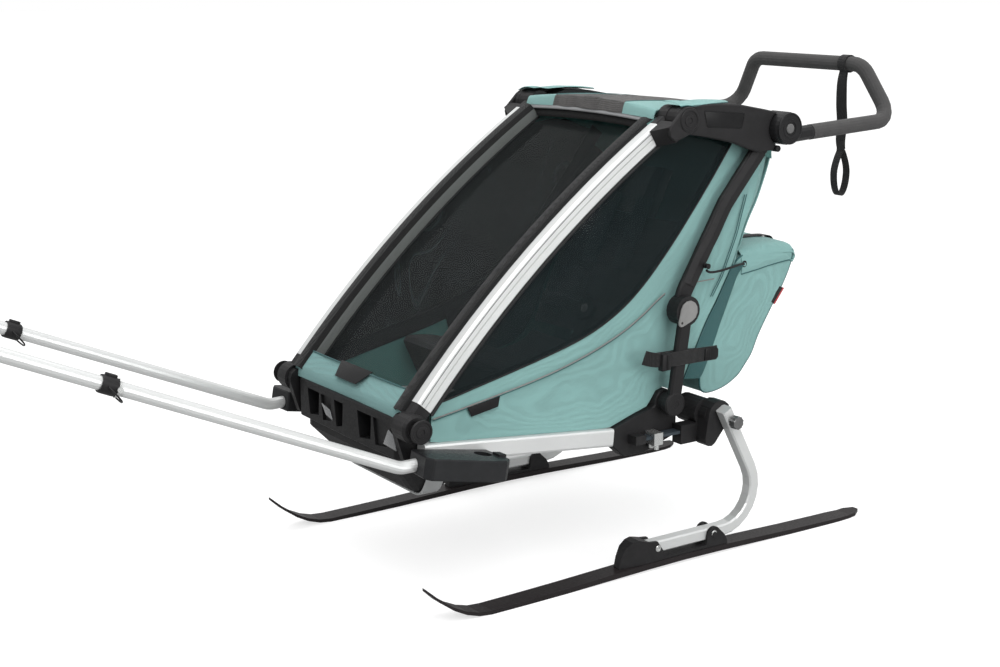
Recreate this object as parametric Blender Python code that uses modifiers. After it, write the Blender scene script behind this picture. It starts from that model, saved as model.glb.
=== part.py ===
"""Child trailer dressed with a cross-country ski kit, as an assembly of separate pieces.

Metres, +Z up, the trailer looks towards -Y, and +X is its left side. The side frames fold as a
four-bar linkage: front pivot, top pivot, knee and lower pivot, all with their axes along X.
"""

import math

import bmesh
import bpy
from mathutils import Matrix, Vector

# Clearances
FIT_GAP = 0.0003
RUN_GAP = 0.0006

# Side frame, seen from the side as (y, z)
FRONT_PIVOT = Vector((-0.110, 0.350))
TOP_PIVOT = Vector((0.490, 0.870))
HANDLE_PIVOT = Vector((0.742, 0.842))
KNEE_PIVOT = Vector((0.506, 0.496))
LOWER_PIVOT = Vector((0.479, 0.310))
FRAME_X = 0.2235
FRAME_WIDTH = 0.026
UPRIGHT_DEPTH = 0.037
UPRIGHT_BOW = 0.033
UPRIGHT_GROOVE = 0.0025
CASTING_NECK = 0.042
HUB_RADIUS = 0.027
HUB_PROUD = 0.012
FORK_REACH = 0.054
FORK_THICKNESS = 0.0075
PIN_RADIUS = 0.008
CROSS_TUBE_RADIUS = 0.009

# Rear brace and lower link, in two layers outside the frame
BRACE_THICKNESS = 0.015
BRACE_WIDTH = 0.037
LINK_WIDTH = 0.031
BRACE_BEND = Vector((0.512, 0.528))
BRACE_BELLY = Vector((0.614, 0.697))
BRACE_HEAD = Vector((0.709, 0.809))
KNEE_RADIUS = 0.030
LOWER_HUB_RADIUS = 0.025
LOCK_THICKNESS = 0.004
LOCK_RADIUS = 0.0215
LOCK_SHAFT_RADIUS = 0.009
LOCK_TAIL = Vector((-0.0185, -0.0215))

# Top moulding
CHEEK_THICKNESS = 0.0145
CANOPY_INSET = 0.001

# Handlebar
DRUM_RADIUS = 0.033
DRUM_PROUD = 0.022
BUTTON_RADIUS = 0.010
BUTTON_PROUD = 0.0025
BUTTON_TRAVEL = 0.004
STUB_RADIUS = 0.0152
GRIP_RADIUS = 0.016
ARM_X = 0.243
GRIP_START = Vector((0.836, 0.827))
ARM_END = Vector((1.090, 0.838))
CROSSBAR = Vector((1.072, 0.951))
CROSSBAR_HALF = 0.165
STRAP_X = 0.120
STRAP_WIDTH = 0.015
STRAP_THICKNESS = 0.002
STRAP_DROP = 0.190
STRAP_LOOP = 0.090

# Base
RAIL_HEIGHT = 0.036
RAIL_FRONT = Vector((-0.085, 0.2965))
RAIL_REAR = Vector((0.350, 0.2545))
BUMPER_BOTTOM = 0.279
BUMPER_TOP = 0.357
BUMPER_FRONT = -0.119
BUMPER_DEPTH = 0.052
BUMPER_HALF = 0.205
TUB_WALL = 0.0025
TUB_HALF_TOP = 0.1826
TUB_HALF_BOTTOM = 0.1176
TUB_BOTTOM = 0.184
TUB_TOP = 0.262
HOOP_WIDTH = 0.042
HOOP_THICKNESS = 0.005
HOOP_CORNER = 0.035

# Pole wings
WING_OUTER = 0.328
WING_THICKNESS = 0.040
WING_FRONT = -0.120
WING_REAR = 0.055
WING_TOP = 0.314
WING_TILT = math.radians(10)
SOCKET_RADIUS = 0.017
SOCKET_DEPTH = 0.028
SOCKET_PLACE = Vector((0.272, 0.020))
LATCH_TRAVEL = 0.004

# Poles
POLE_RADIUS = 0.012
POLE_WALL = 0.0015
POLE_SEAT = Vector((0.262, -0.076, 0.2905))
POLE_BEND = Vector((0.258, -0.150, 0.2885))
POLE_JOINT = Vector((0.236, -0.675, 0.5155))
POLE_TIP_RUN = 0.850
SPIGOT_LENGTH = 0.044
PLUG_LENGTH = 0.012
LOCK_PIN_RADIUS = 0.003
BAIL_WIRE = 0.0013

# Suspension and axle
AXLE_CENTRE = Vector((0.564, 0.279))
AXLE_RADIUS = 0.020
AXLE_DRUM_RADIUS = 0.029
AXLE_DRUM_LENGTH = 0.062
LEAF_X = 0.250
LEAF_WIDTH = 0.022
LEAF_THICKNESS = 0.006
LEAF_TOP = 0.2507
LEAF_FRONT = 0.412
LEAF_REAR = 0.582
CLAMP_LENGTH = 0.022
CLAMP_WALL = 0.0065
CLAMP_PLACE = 0.428
LUG_FRONT = 0.500
LUG_BELOW = 0.022

# Ski arms and skis
TRACK_HALF = 0.306
ARM_WIDTH = 0.026
ARM_DEPTH = 0.024
ARM_TOP = Vector((0.5735, 0.2945))
ARM_HEEL = Vector((0.709, 0.0435))
ARM_TOE = Vector((0.373, 0.0435))
ARM_BEND_RADIUS = 0.095
KNOB_RADIUS = 0.014
KNOB_DEPTH = 0.018
KNOB_DOWN = 0.0275
SKI_WIDTH = 0.044
SKI_THICKNESS = 0.012
SKI_TIP_REACH = 0.133
SKI_TIP_RISE = 0.068
SKI_CONTACT = 0.930
SKI_FLAT = 0.075
SKI_CAMBER = 0.006
SKI_TAIL = 0.037
MOUNT_CHEEK = 0.006
SADDLE_PLACE = 0.541

# Soft goods
CLOTH = 0.0025
FLANGE_IN = 0.180
BACK_LINE = [(0.768, 0.852), (0.770, 0.790), (0.738, 0.700), (0.703, 0.632), (0.660, 0.505), (0.602, 0.400), (0.556, 0.318)]
CABIN_HALF = 0.2102
BAG_HALF = 0.197
BAG_WALL = 0.005
BAG_TOP_FRONT = 0.694
BAG_CLEARANCE = 0.0019
BAG_TOP = 0.600
BAG_BOTTOM = 0.304
SEAT_HALF = 0.2218
SEAT_THICKNESS = 0.032
SEAT_LINE = [(0.150, 0.350), (0.270, 0.343), (0.395, 0.350), (0.455, 0.395), (0.520, 0.530), (0.590, 0.670), (0.650, 0.795)]
HARNESS_X = 0.052
HARNESS_WIDTH = 0.038

# Facets
ROUND = 20
SMALL_ROUND = 12
ARC_STEPS = 12

# Places worked out from the sizes above
FRAME_IN = FRAME_X - FRAME_WIDTH / 2
FRAME_OUT = FRAME_X + FRAME_WIDTH / 2
BRACE_IN = FRAME_OUT + 3 * RUN_GAP
BRACE_OUT = BRACE_IN + BRACE_THICKNESS
LINK_IN = BRACE_OUT + RUN_GAP
LINK_OUT = LINK_IN + BRACE_THICKNESS
CHEEK_IN = BRACE_OUT + FIT_GAP
CHEEK_OUT = CHEEK_IN + CHEEK_THICKNESS
DRUM_IN = BRACE_IN + RUN_GAP
DRUM_OUT = CHEEK_OUT + DRUM_PROUD
WING_IN = FRAME_OUT + RUN_GAP

# From a drawing plane to the world: local x, y, z become these world directions
SIDE_PLANE = Matrix(((0, 0, 1), (1, 0, 0), (0, 1, 0)))
PLAN_PLANE = Matrix.Identity(3)
FRONT_PLANE = Matrix(((1, 0, 0), (0, 0, -1), (0, 1, 0)))

FINISHES = {
    "silver": ((0.80, 0.81, 0.82), 0.35, 0.9),
    "black_moulding": ((0.045, 0.045, 0.048), 0.55, 0.0),
    "grey_button": ((0.30, 0.30, 0.31), 0.5, 0.0),
    "foam": ((0.035, 0.035, 0.037), 0.85, 0.0),
    "webbing": ((0.03, 0.03, 0.03), 0.9, 0.0),
    "teal_fabric": ((0.26, 0.45, 0.42), 0.85, 0.0),
    "tinted_window": ((0.03, 0.05, 0.055), 0.25, 0.0),
    "seat_fabric": ((0.12, 0.14, 0.15), 0.9, 0.0),
    "ski_black": ((0.03, 0.027, 0.028), 0.35, 0.0),
    "steel": ((0.62, 0.63, 0.64), 0.3, 1.0),
    "composite": ((0.06, 0.075, 0.085), 0.45, 0.0),
}


def clear_scene():
    for obj in list(bpy.data.objects):
        bpy.data.objects.remove(obj, do_unlink=True)


def new_collection(name):
    collection = bpy.data.collections.new(name)
    bpy.context.scene.collection.children.link(collection)
    return collection


def finish_of(slot):
    material = bpy.data.materials.get(slot) or bpy.data.materials.new(slot)
    colour, roughness, metallic = FINISHES[slot]
    material.use_nodes = True
    shader = material.node_tree.nodes["Principled BSDF"]
    shader.inputs["Base Color"].default_value = (*colour, 1.0)
    shader.inputs["Roughness"].default_value = roughness
    shader.inputs["Metallic"].default_value = metallic
    return material


def link(obj, collection):
    for other in list(obj.users_collection):
        other.objects.unlink(obj)
    collection.objects.link(obj)
    return obj


def object_of(name, data):
    obj = bpy.data.objects.new(name, data)
    PARTS.objects.link(obj)
    return obj


# Outlines


def arc(centre, radius, start_deg, end_deg, steps=8):
    """Points round a centre, both ends included."""
    points = []
    for i in range(steps + 1):
        angle = math.radians(start_deg + (end_deg - start_deg) * i / steps)
        points.append((centre[0] + radius * math.cos(angle), centre[1] + radius * math.sin(angle)))
    return points


def circle(centre, radius, sides=ROUND):
    return arc(centre, radius, 0, 360 - 360 / sides, sides - 1)


def rectangle(low, high):
    return [(low[0], low[1]), (high[0], low[1]), (high[0], high[1]), (low[0], high[1])]


def rounded_section(width, height, radius, steps=2):
    """A rectangle with round corners, centred on the origin, anticlockwise."""
    x, y = width / 2 - radius, height / 2 - radius
    corners = (((x, y), 0), ((-x, y), 90), ((-x, -y), 180), ((x, -y), 270))
    return [p for centre, start in corners for p in arc(centre, radius, start, start + 90, steps)]


def flat_section(thickness, width):
    """A strap's section, its width along the plane's normal."""
    x, y = thickness / 2, width / 2
    return [(-x, -y), (x, -y), (x, y), (-x, y)]


def rounded_path(points, radius, steps=5):
    """The same polyline with each inner corner turned into an arc of this radius."""
    points = [Vector(p) for p in points]
    path = [points[0]]
    for before, corner, after in zip(points, points[1:], points[2:]):
        back = (before - corner).normalized()
        ahead = (after - corner).normalized()
        half = back.angle(ahead) / 2
        reach = min(radius / math.tan(half), 0.48 * (before - corner).length, 0.98 * (after - corner).length)
        turn = reach * math.tan(half)
        centre = corner + (back + ahead).normalized() * (turn / math.sin(half))
        first, last = corner + back * reach - centre, corner + ahead * reach - centre
        sweep = first.angle(last)
        for i in range(steps + 1):
            share = i / steps
            weight_first = math.sin((1 - share) * sweep) / math.sin(sweep)
            weight_last = math.sin(share * sweep) / math.sin(sweep)
            path.append(centre + first * weight_first + last * weight_last)
    path.append(points[-1])
    return path


def bowed(start, end, bow, offset=0.0, trim_start=0.0, trim_end=0.0, steps=ARC_STEPS):
    """A shallow arc from start to end that bulges by bow to the left of travel, shifted by offset that way."""
    chord = end - start
    along = chord.normalized()
    left = Vector((-along.y, along.x))
    radius = chord.length ** 2 / (8 * bow) + bow / 2
    half = math.asin(chord.length / 2 / radius)
    centre = (start + end) / 2 - left * (radius - bow)
    first = -half + trim_start / radius
    last = half - trim_end / radius
    points = []
    for i in range(steps + 1):
        angle = first + (last - first) * i / steps
        points.append(centre + (left * math.cos(angle) + along * math.sin(angle)) * (radius + offset))
    return points


def hull_of_circles(first, first_radius, second, second_radius, steps=8):
    """The outline of a belt round two circles, anticlockwise."""
    apart = second - first
    heading = math.degrees(math.atan2(apart.y, apart.x))
    spread = math.degrees(math.acos((first_radius - second_radius) / apart.length))
    outline = arc(first, first_radius, heading + spread, heading + 360 - spread, steps)
    return outline + arc(second, second_radius, heading - spread, heading + spread, steps // 2)


# Solids


def to_mesh(obj):
    """The evaluated shape as a mesh object in world coordinates, its loose caps welded."""
    bpy.context.view_layer.update()
    evaluated = obj.evaluated_get(bpy.context.evaluated_depsgraph_get())
    mesh = bpy.data.meshes.new_from_object(evaluated)
    mesh.transform(obj.matrix_world)
    if obj.matrix_world.is_negative:
        mesh.flip_normals()
    shape = bmesh.new()
    shape.from_mesh(mesh)
    bmesh.ops.remove_doubles(shape, verts=shape.verts, dist=1e-6)
    bmesh.ops.recalc_face_normals(shape, faces=shape.faces)
    shape.to_mesh(mesh)
    shape.free()
    name = obj.name
    bpy.data.objects.remove(obj, do_unlink=True)
    return object_of(name, mesh)


def extruded(name, outline, low, high, plane=SIDE_PLANE, bevel=0.0, segments=1):
    """A flat outline given thickness from low to high along the plane's normal."""
    curve = bpy.data.curves.new(name, "CURVE")
    curve.dimensions = "2D"
    curve.fill_mode = "BOTH"
    curve.extrude = (high - low) / 2
    spline = curve.splines.new("POLY")
    spline.points.add(len(outline) - 1)
    for point, (x, y) in zip(spline.points, outline):
        point.co = (x, y, 0, 1)
    spline.use_cyclic_u = True
    obj = object_of(name, curve)
    middle = plane @ Vector((0, 0, (low + high) / 2))
    obj.matrix_world = Matrix.Translation(middle) @ plane.to_4x4()
    obj = to_mesh(obj)
    if bevel:
        soften(obj, bevel, segments)
    return obj


def soften(obj, width, segments=1, angle=35):
    modifier = obj.modifiers.new("rounded_edges", "BEVEL")
    modifier.width = width
    modifier.segments = segments
    modifier.limit_method = "ANGLE"
    modifier.angle_limit = math.radians(angle)
    modifier.use_clamp_overlap = True


def swept(name, path, section, middle=0.0, plane=SIDE_PLANE, cyclic=False):
    """A section drawn along a path that lies in the plane; the section's y is the plane's normal."""
    outline = bpy.data.curves.new(name + "_section", "CURVE")
    outline.dimensions = "2D"
    drawn = outline.splines.new("POLY")
    drawn.points.add(len(section) - 1)
    for point, (x, y) in zip(drawn.points, section):
        point.co = (x, y, 0, 1)
    drawn.use_cyclic_u = True
    helper = object_of(name + "_section", outline)
    curve = bpy.data.curves.new(name, "CURVE")
    curve.dimensions = "3D"
    curve.twist_mode = "Z_UP"
    curve.bevel_mode = "OBJECT"
    curve.bevel_object = helper
    curve.use_fill_caps = True
    spline = curve.splines.new("POLY")
    spline.points.add(len(path) - 1)
    for point, place in zip(spline.points, path):
        point.co = (place[0], place[1], 0, 1)
    spline.use_cyclic_u = cyclic
    obj = object_of(name, curve)
    obj.matrix_world = Matrix.Translation(plane @ Vector((0, 0, middle))) @ plane.to_4x4()
    solid = to_mesh(obj)
    bpy.data.objects.remove(helper, do_unlink=True)
    return solid


def tube(name, path, radius, resolution=2):
    """A round bar along 3-D points."""
    curve = bpy.data.curves.new(name, "CURVE")
    curve.dimensions = "3D"
    curve.bevel_depth = radius
    curve.bevel_resolution = resolution
    curve.use_fill_caps = True
    spline = curve.splines.new("POLY")
    spline.points.add(len(path) - 1)
    for point, place in zip(spline.points, path):
        point.co = (*place, 1)
    return to_mesh(object_of(name, curve))


def cylinder(name, centre, radius, low, high, sides=ROUND):
    """A disc or pin along X, its centre given as (y, z)."""
    mesh = bpy.data.meshes.new(name)
    shape = bmesh.new()
    bmesh.ops.create_cone(
        shape, cap_ends=True, segments=sides, radius1=radius, radius2=radius, depth=high - low
    )
    shape.to_mesh(mesh)
    shape.free()
    mesh.transform(Matrix.Translation(((low + high) / 2, *centre)) @ SIDE_PLANE.to_4x4())
    return object_of(name, mesh)


def turned(name, profile, centre, sides=ROUND, heading=None):
    """A profile of (radius, height) points, top to bottom, revolved about X, or about a heading."""
    mesh = bpy.data.meshes.new(name)
    edges = [(i, i + 1) for i in range(len(profile) - 1)]
    mesh.from_pydata([(radius, 0, height) for radius, height in profile], edges, [])
    obj = object_of(name, mesh)
    screw = obj.modifiers.new("turned", "SCREW")
    screw.axis = "Z"
    screw.steps = sides
    screw.render_steps = sides
    screw.use_merge_vertices = True
    screw.merge_threshold = 1e-5
    if heading:
        obj.matrix_world = Matrix.Translation(centre) @ heading.to_track_quat("Z", "Y").to_matrix().to_4x4()
    else:
        obj.matrix_world = Matrix.Translation((0, *centre)) @ SIDE_PLANE.to_4x4()
    return to_mesh(obj)


def block(name, low, high):
    """A box between two corners."""
    mesh = bpy.data.meshes.new(name)
    shape = bmesh.new()
    bmesh.ops.create_cube(shape, size=1.0)
    size = Vector(high) - Vector(low)
    bmesh.ops.scale(shape, vec=size, verts=shape.verts)
    bmesh.ops.translate(shape, vec=(Vector(high) + Vector(low)) / 2, verts=shape.verts)
    shape.to_mesh(mesh)
    shape.free()
    return object_of(name, mesh)


def combine(obj, other, operation):
    """A Boolean with a helper object that stays in the cutters' collection."""
    modifier = obj.modifiers.new(other.name, "BOOLEAN")
    modifier.operation = operation
    modifier.object = link(other, CUTTERS)
    other.hide_render = True
    other.display_type = "WIRE"
    return obj


def join(obj, *others):
    for other in others:
        combine(obj, other, "UNION")
    return obj


def cut(obj, *others):
    for other in others:
        combine(obj, other, "DIFFERENCE")
    return obj


def loft(name, sections, closed_ends=True):
    """A skin over sections of equal point counts, each a ring of 3-D points."""
    mesh = bpy.data.meshes.new(name)
    count = len(sections[0])
    points = [tuple(p) for ring in sections for p in ring]
    faces = []
    for row in range(len(sections) - 1):
        for i in range(count):
            a, b = row * count + i, row * count + (i + 1) % count
            faces.append((a, b, b + count, a + count))
    if closed_ends:
        faces.append(tuple(reversed(range(count))))
        faces.append(tuple(range((len(sections) - 1) * count, len(sections) * count)))
    mesh.from_pydata(points, [], faces)
    shape = bmesh.new()
    shape.from_mesh(mesh)
    bmesh.ops.recalc_face_normals(shape, faces=shape.faces)
    shape.to_mesh(mesh)
    shape.free()
    return object_of(name, mesh)


def cloth_sheet(name, rows, thickness=CLOTH):
    """An open surface through rows of 3-D points, thickened."""
    mesh = bpy.data.meshes.new(name)
    count = len(rows[0])
    faces = []
    for row in range(len(rows) - 1):
        for i in range(count - 1):
            a = row * count + i
            faces.append((a, a + 1, a + 1 + count, a + count))
    mesh.from_pydata([tuple(p) for row in rows for p in row], [], faces)
    obj = object_of(name, mesh)
    solid = obj.modifiers.new("thickness", "SOLIDIFY")
    solid.thickness = thickness
    solid.offset = 0
    return obj


def settled(obj, slot, carrier):
    """Gives the piece its finish and hangs it on the empty of its body."""
    obj.data.materials.clear()
    obj.data.materials.append(finish_of(slot))
    obj.data.shade_smooth()
    obj.data.set_sharp_from_angle(angle=math.radians(35))
    obj.parent = carrier
    obj.matrix_parent_inverse = carrier.matrix_world.inverted()
    carry_helpers(obj)
    return obj


def carry_helpers(obj):
    """Hangs a piece's Boolean helpers on it, so that they stay in place when the piece moves."""
    for modifier in obj.modifiers:
        if modifier.type == "BOOLEAN":
            modifier.object.parent = obj
            carry_helpers(modifier.object)


def both_sides(left, slot, carriers):
    """Settles the left piece and makes its mirror image for the right side."""
    left_carrier, right_carrier = carriers
    bpy.context.view_layer.update()
    evaluated = left.evaluated_get(bpy.context.evaluated_depsgraph_get())
    mesh = bpy.data.meshes.new_from_object(evaluated)
    mesh.transform(Matrix.Diagonal((-1, 1, 1, 1)))
    mesh.flip_normals()
    right = object_of(left.name.replace("_left", "_right"), mesh)
    settled(right, slot, right_carrier)
    settled(left, slot, left_carrier)


def axis_empty(name, place, parent=None):
    """An empty on a joint's axis, which carries that joint's body."""
    empty = bpy.data.objects.new(name, None)
    PARTS.objects.link(empty)
    empty.empty_display_size = 0.04
    if parent:
        empty.parent = parent
        empty.matrix_parent_inverse = parent.matrix_world.inverted()
    empty.location = place
    bpy.context.view_layer.update()
    return empty


# Front frame


def upright_section():
    """The extrusion's section: width along X, with a lengthwise groove in its outer face."""
    depth, width, groove = UPRIGHT_DEPTH / 2, FRAME_WIDTH / 2, UPRIGHT_GROOVE
    corner = 0.004
    outer = [(-depth + corner, -width), (depth - corner, -width), (depth, -width + corner)]
    outer += [(depth, width - corner), (depth - corner, width), (groove / 2, width), (0, width - groove)]
    outer += [(-groove / 2, width), (-depth + corner, width), (-depth, width - corner), (-depth, -width + corner)]
    return outer


def make_uprights(carriers):
    path = bowed(FRONT_PIVOT, TOP_PIVOT, UPRIGHT_BOW, 0, CASTING_NECK, CASTING_NECK)
    upright = swept("front_upright_left", path, upright_section(), FRAME_X)
    both_sides(upright, "silver", (carriers, carriers))


def neck(name, trim_start, trim_end):
    """A short stretch of the upright's line, slightly larger than the extrusion."""
    section = rounded_section(UPRIGHT_DEPTH + 0.001, FRAME_WIDTH - 0.001, 0.005, 1)
    path = bowed(FRONT_PIVOT, TOP_PIVOT, UPRIGHT_BOW, 0, trim_start, trim_end, 2)
    return swept(name, path, section, FRAME_X)


def outer_fork():
    """The casting's outer cheek, which carries the moulding's eye from outside."""
    line = bowed(FRONT_PIVOT, TOP_PIVOT, UPRIGHT_BOW)
    away = (line[-2] - line[-1]).normalized()
    face = CHEEK_OUT + RUN_GAP
    toe = TOP_PIVOT + away * (FORK_REACH - 0.018)
    outline = hull_of_circles(TOP_PIVOT, HUB_RADIUS - 0.0005, toe, UPRIGHT_DEPTH / 2)
    cheek = extruded("fork_cheek", outline, face, face + FORK_THICKNESS, bevel=0.002)
    start = HUB_RADIUS + 0.003
    side = [
        (FRAME_OUT - 0.003, -start),
        (face + FORK_THICKNESS - 0.002, -start),
        (face + FORK_THICKNESS - 0.002, -FORK_REACH + 0.006),
        (FRAME_OUT + 0.003, -FORK_REACH - 0.012),
        (FRAME_OUT + FIT_GAP, -FORK_REACH - 0.012),
        (FRAME_OUT + FIT_GAP, -CASTING_NECK + FIT_GAP),
        (FRAME_OUT - 0.003, -CASTING_NECK + FIT_GAP),
    ]
    half = UPRIGHT_DEPTH / 2 - 0.0005
    bridge = extruded("fork_bridge", side, -half, half, PLAN_PLANE)
    turn = Matrix.Rotation(math.atan2(-away.y, -away.x), 4, "X")
    bridge.data.transform(Matrix.Translation((0, *TOP_PIVOT)) @ turn)
    return cheek, bridge


def make_castings(carrier):
    length = (TOP_PIVOT - FRONT_PIVOT).length * (1 + 8 / 3 * (UPRIGHT_BOW / (TOP_PIVOT - FRONT_PIVOT).length) ** 2)
    clear = CASTING_NECK - FIT_GAP
    lower = turned(
        "lower_casting_left",
        [
            (0, FRAME_OUT + HUB_PROUD - 0.003),
            (0.014, FRAME_OUT + HUB_PROUD - 0.003),
            (0.016, FRAME_OUT + HUB_PROUD),
            (HUB_RADIUS - 0.005, FRAME_OUT + HUB_PROUD),
            (HUB_RADIUS, FRAME_OUT + HUB_PROUD - 0.005),
            (HUB_RADIUS, FRAME_IN),
            (PIN_RADIUS, FRAME_IN),
            (PIN_RADIUS, FRAME_IN - 0.011),
            (0, FRAME_IN - 0.011),
        ],
        FRONT_PIVOT,
    )
    join(lower, neck("lower_neck", 0.006, length - clear))
    both_sides(lower, "black_moulding", (carrier, carrier))
    upper = cylinder("upper_casting_left", TOP_PIVOT, HUB_RADIUS, FRAME_IN, FRAME_OUT)
    join(upper, neck("upper_neck", length - clear, 0.006))
    cut(upper, cylinder("upper_bore", TOP_PIVOT, PIN_RADIUS + FIT_GAP, FRAME_IN + 0.005, FRAME_OUT + 0.01, ROUND))
    join(upper, *outer_fork())
    both_sides(upper, "black_moulding", (carrier, carrier))


def make_cross_tube(carrier):
    half = FRAME_IN - FIT_GAP
    place = TOP_PIVOT + Vector((-0.010, -0.004))
    tube_piece = cylinder("front_cross_tube", place, CROSS_TUBE_RADIUS, -half, half, SMALL_ROUND)
    settled(tube_piece, "silver", carrier)


# Top frame


def top_edge():
    """The moulding's upper edge, from the front hub to the handle drum."""
    front = TOP_PIVOT + Vector((0.004, HUB_RADIUS))
    rear = HANDLE_PIVOT + Vector((-0.052, 0.040))
    rise = Vector((0.0, 0.006))
    third = (rear - front) / 3
    return [front, front + third + rise, front + 2 * third + rise * 1.2, rear]


def make_mouldings(carrier):
    recess = DRUM_RADIUS + 0.0015
    rim = arc(HANDLE_PIVOT, recess, 112, 248, 8)
    under = [
        BRACE_HEAD + Vector((0.013, -0.010)),
        BRACE_HEAD + Vector((-0.026, -0.012)),
        BRACE_HEAD + Vector((-0.049, -0.006)),
        TOP_PIVOT + Vector((0.120, -0.050)),
        TOP_PIVOT + Vector((0.060, -0.037)),
    ]
    outline = [*rim, *under, *arc(TOP_PIVOT, HUB_RADIUS, 270, 98, 8), *top_edge()[1:]]
    moulding = extruded("side_moulding_left", outline, CHEEK_IN, CHEEK_OUT, bevel=0.004)
    boss = cylinder("moulding_boss", TOP_PIVOT, HUB_RADIUS - 0.001, FRAME_OUT + RUN_GAP, CHEEK_IN + 0.004)
    pin = cylinder("moulding_pin", TOP_PIVOT, PIN_RADIUS, FRAME_IN + 0.006, CHEEK_IN + 0.004)
    start = TOP_PIVOT + Vector((HUB_RADIUS + 0.012, 0))
    inner = [start + Vector((0, -0.016)), start + Vector((0, 0.018))]
    inner += [p + Vector((0, -0.0015)) for p in top_edge()[1:]]
    inner += arc(HANDLE_PIVOT, HUB_RADIUS + 0.003, 115, -115, 10)
    inner += [BRACE_HEAD + Vector((-0.008, 0.0105)), BRACE_HEAD + Vector((-0.052, 0.040))]
    body = extruded("moulding_body", inner, FRAME_IN, CHEEK_IN + 0.005)
    drum_room = cylinder("drum_room", HANDLE_PIVOT, recess, DRUM_IN - RUN_GAP, CHEEK_OUT + 0.01)
    bore = cylinder("handle_bore", HANDLE_PIVOT, 0.012 + FIT_GAP, FRAME_IN - 0.01, CHEEK_OUT + 0.01)
    hook = cylinder("canopy_hook", BRACE_HEAD + Vector((0.0195, -0.0075)), 0.0065, CHEEK_IN + 0.002, CHEEK_OUT + 0.005, 8)
    join(moulding, boss, pin, body, hook)
    cut(moulding, drum_room, bore)
    both_sides(moulding, "black_moulding", (carrier, carrier))


def brace_section(width):
    return rounded_section(width, BRACE_THICKNESS, 0.004, 1)


def make_braces(carrier):
    path = rounded_path([KNEE_PIVOT, BRACE_BEND, BRACE_BELLY, BRACE_HEAD], 0.06, 4)
    middle = (BRACE_IN + BRACE_OUT) / 2
    brace = swept("rear_brace_left", path, brace_section(BRACE_WIDTH), middle)
    join(brace, cylinder("brace_hub", KNEE_PIVOT, KNEE_RADIUS, BRACE_IN - 0.0005, BRACE_OUT + 0.0001))
    both_sides(brace, "black_moulding", (carrier, carrier))


def make_lower_links(carrier):
    middle = (LINK_IN + LINK_OUT) / 2
    knee_hub = cylinder("lower_link_left", KNEE_PIVOT, KNEE_RADIUS, LINK_IN, LINK_OUT)
    bar = swept("link_bar", [LOWER_PIVOT, KNEE_PIVOT], brace_section(LINK_WIDTH), middle)
    hub = turned(
        "link_hub",
        [
            (0, LINK_OUT - 0.001),
            (0.007, LINK_OUT - 0.001),
            (0.009, LINK_OUT + 0.0005),
            (LOWER_HUB_RADIUS - 0.003, LINK_OUT + 0.0005),
            (LOWER_HUB_RADIUS, LINK_OUT - 0.0025),
            (LOWER_HUB_RADIUS, LINK_IN - 0.0002),
            (PIN_RADIUS, LINK_IN - 0.0002),
            (PIN_RADIUS, FRAME_IN + 0.006),
            (0, FRAME_IN + 0.006),
        ],
        LOWER_PIVOT,
    )
    join(knee_hub, bar, hub)
    cut(knee_hub, cylinder("lock_bore", KNEE_PIVOT, LOCK_SHAFT_RADIUS + FIT_GAP, LINK_IN - 0.01, LINK_OUT + 0.01))
    both_sides(knee_hub, "black_moulding", (carrier, carrier))


def make_fold_locks(carriers):
    face = LINK_OUT + RUN_GAP
    outline = hull_of_circles(KNEE_PIVOT, LOCK_RADIUS, KNEE_PIVOT + LOCK_TAIL, 0.008)
    lock = extruded("fold_lock_left", outline, face, face + LOCK_THICKNESS, bevel=0.001)
    shaft = cylinder("lock_shaft", KNEE_PIVOT, LOCK_SHAFT_RADIUS, LINK_IN + 0.001, face + 0.001)
    join(lock, shaft)
    cut(lock, cylinder("tail_hole", KNEE_PIVOT + LOCK_TAIL, 0.0028, face - 0.01, face + 0.01, 8))
    both_sides(lock, "grey_button", carriers)


# Handlebar


def make_handle_hubs(carrier):
    floor = DRUM_OUT - BUTTON_TRAVEL - BUTTON_RADIUS * 0.8
    drum = turned(
        "handle_hub_left",
        [
            (0, floor),
            (BUTTON_RADIUS + FIT_GAP, floor),
            (BUTTON_RADIUS + FIT_GAP, DRUM_OUT - 0.001),
            (BUTTON_RADIUS + 0.003, DRUM_OUT),
            (DRUM_RADIUS - 0.008, DRUM_OUT),
            (DRUM_RADIUS - 0.002, DRUM_OUT - 0.003),
            (DRUM_RADIUS, DRUM_OUT - 0.009),
            (DRUM_RADIUS, DRUM_IN),
            (0.012, DRUM_IN),
            (0.012, FRAME_IN + 0.002),
            (0, FRAME_IN + 0.002),
        ],
        HANDLE_PIVOT,
        24,
    )
    start = Vector(((DRUM_IN + DRUM_OUT) / 2 - 0.006, *HANDLE_PIVOT))
    end, beyond = grip_path()[:2]
    heading = (beyond - end).normalized()
    inside = end - heading * (GRIP_START.x - HANDLE_PIVOT.x - 0.013)
    inside.x = start.x
    join(drum, tube("handle_stub", [inside, end - heading * 0.012, end - heading * FIT_GAP], STUB_RADIUS, 5))
    both_sides(drum, "black_moulding", (carrier, carrier))


def grip_path():
    """The foam grip's centre line, from the left arm round to the right one."""
    left = [
        Vector((ARM_X + 0.007, *GRIP_START)),
        Vector((ARM_X, GRIP_START.x + 0.120, GRIP_START.y + 0.003)),
        Vector((ARM_X - 0.006, *ARM_END)),
        Vector((CROSSBAR_HALF, *CROSSBAR)),
    ]
    right = [Vector((-p.x, p.y, p.z)) for p in reversed(left)]
    corners = [left[0], left[2], left[3], right[0], right[1], right[3]]
    return rounded_path(corners, 0.042, 5)


def make_grip(carrier):
    settled(tube("handlebar_grip", grip_path(), GRIP_RADIUS, 6), "foam", carrier)


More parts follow.
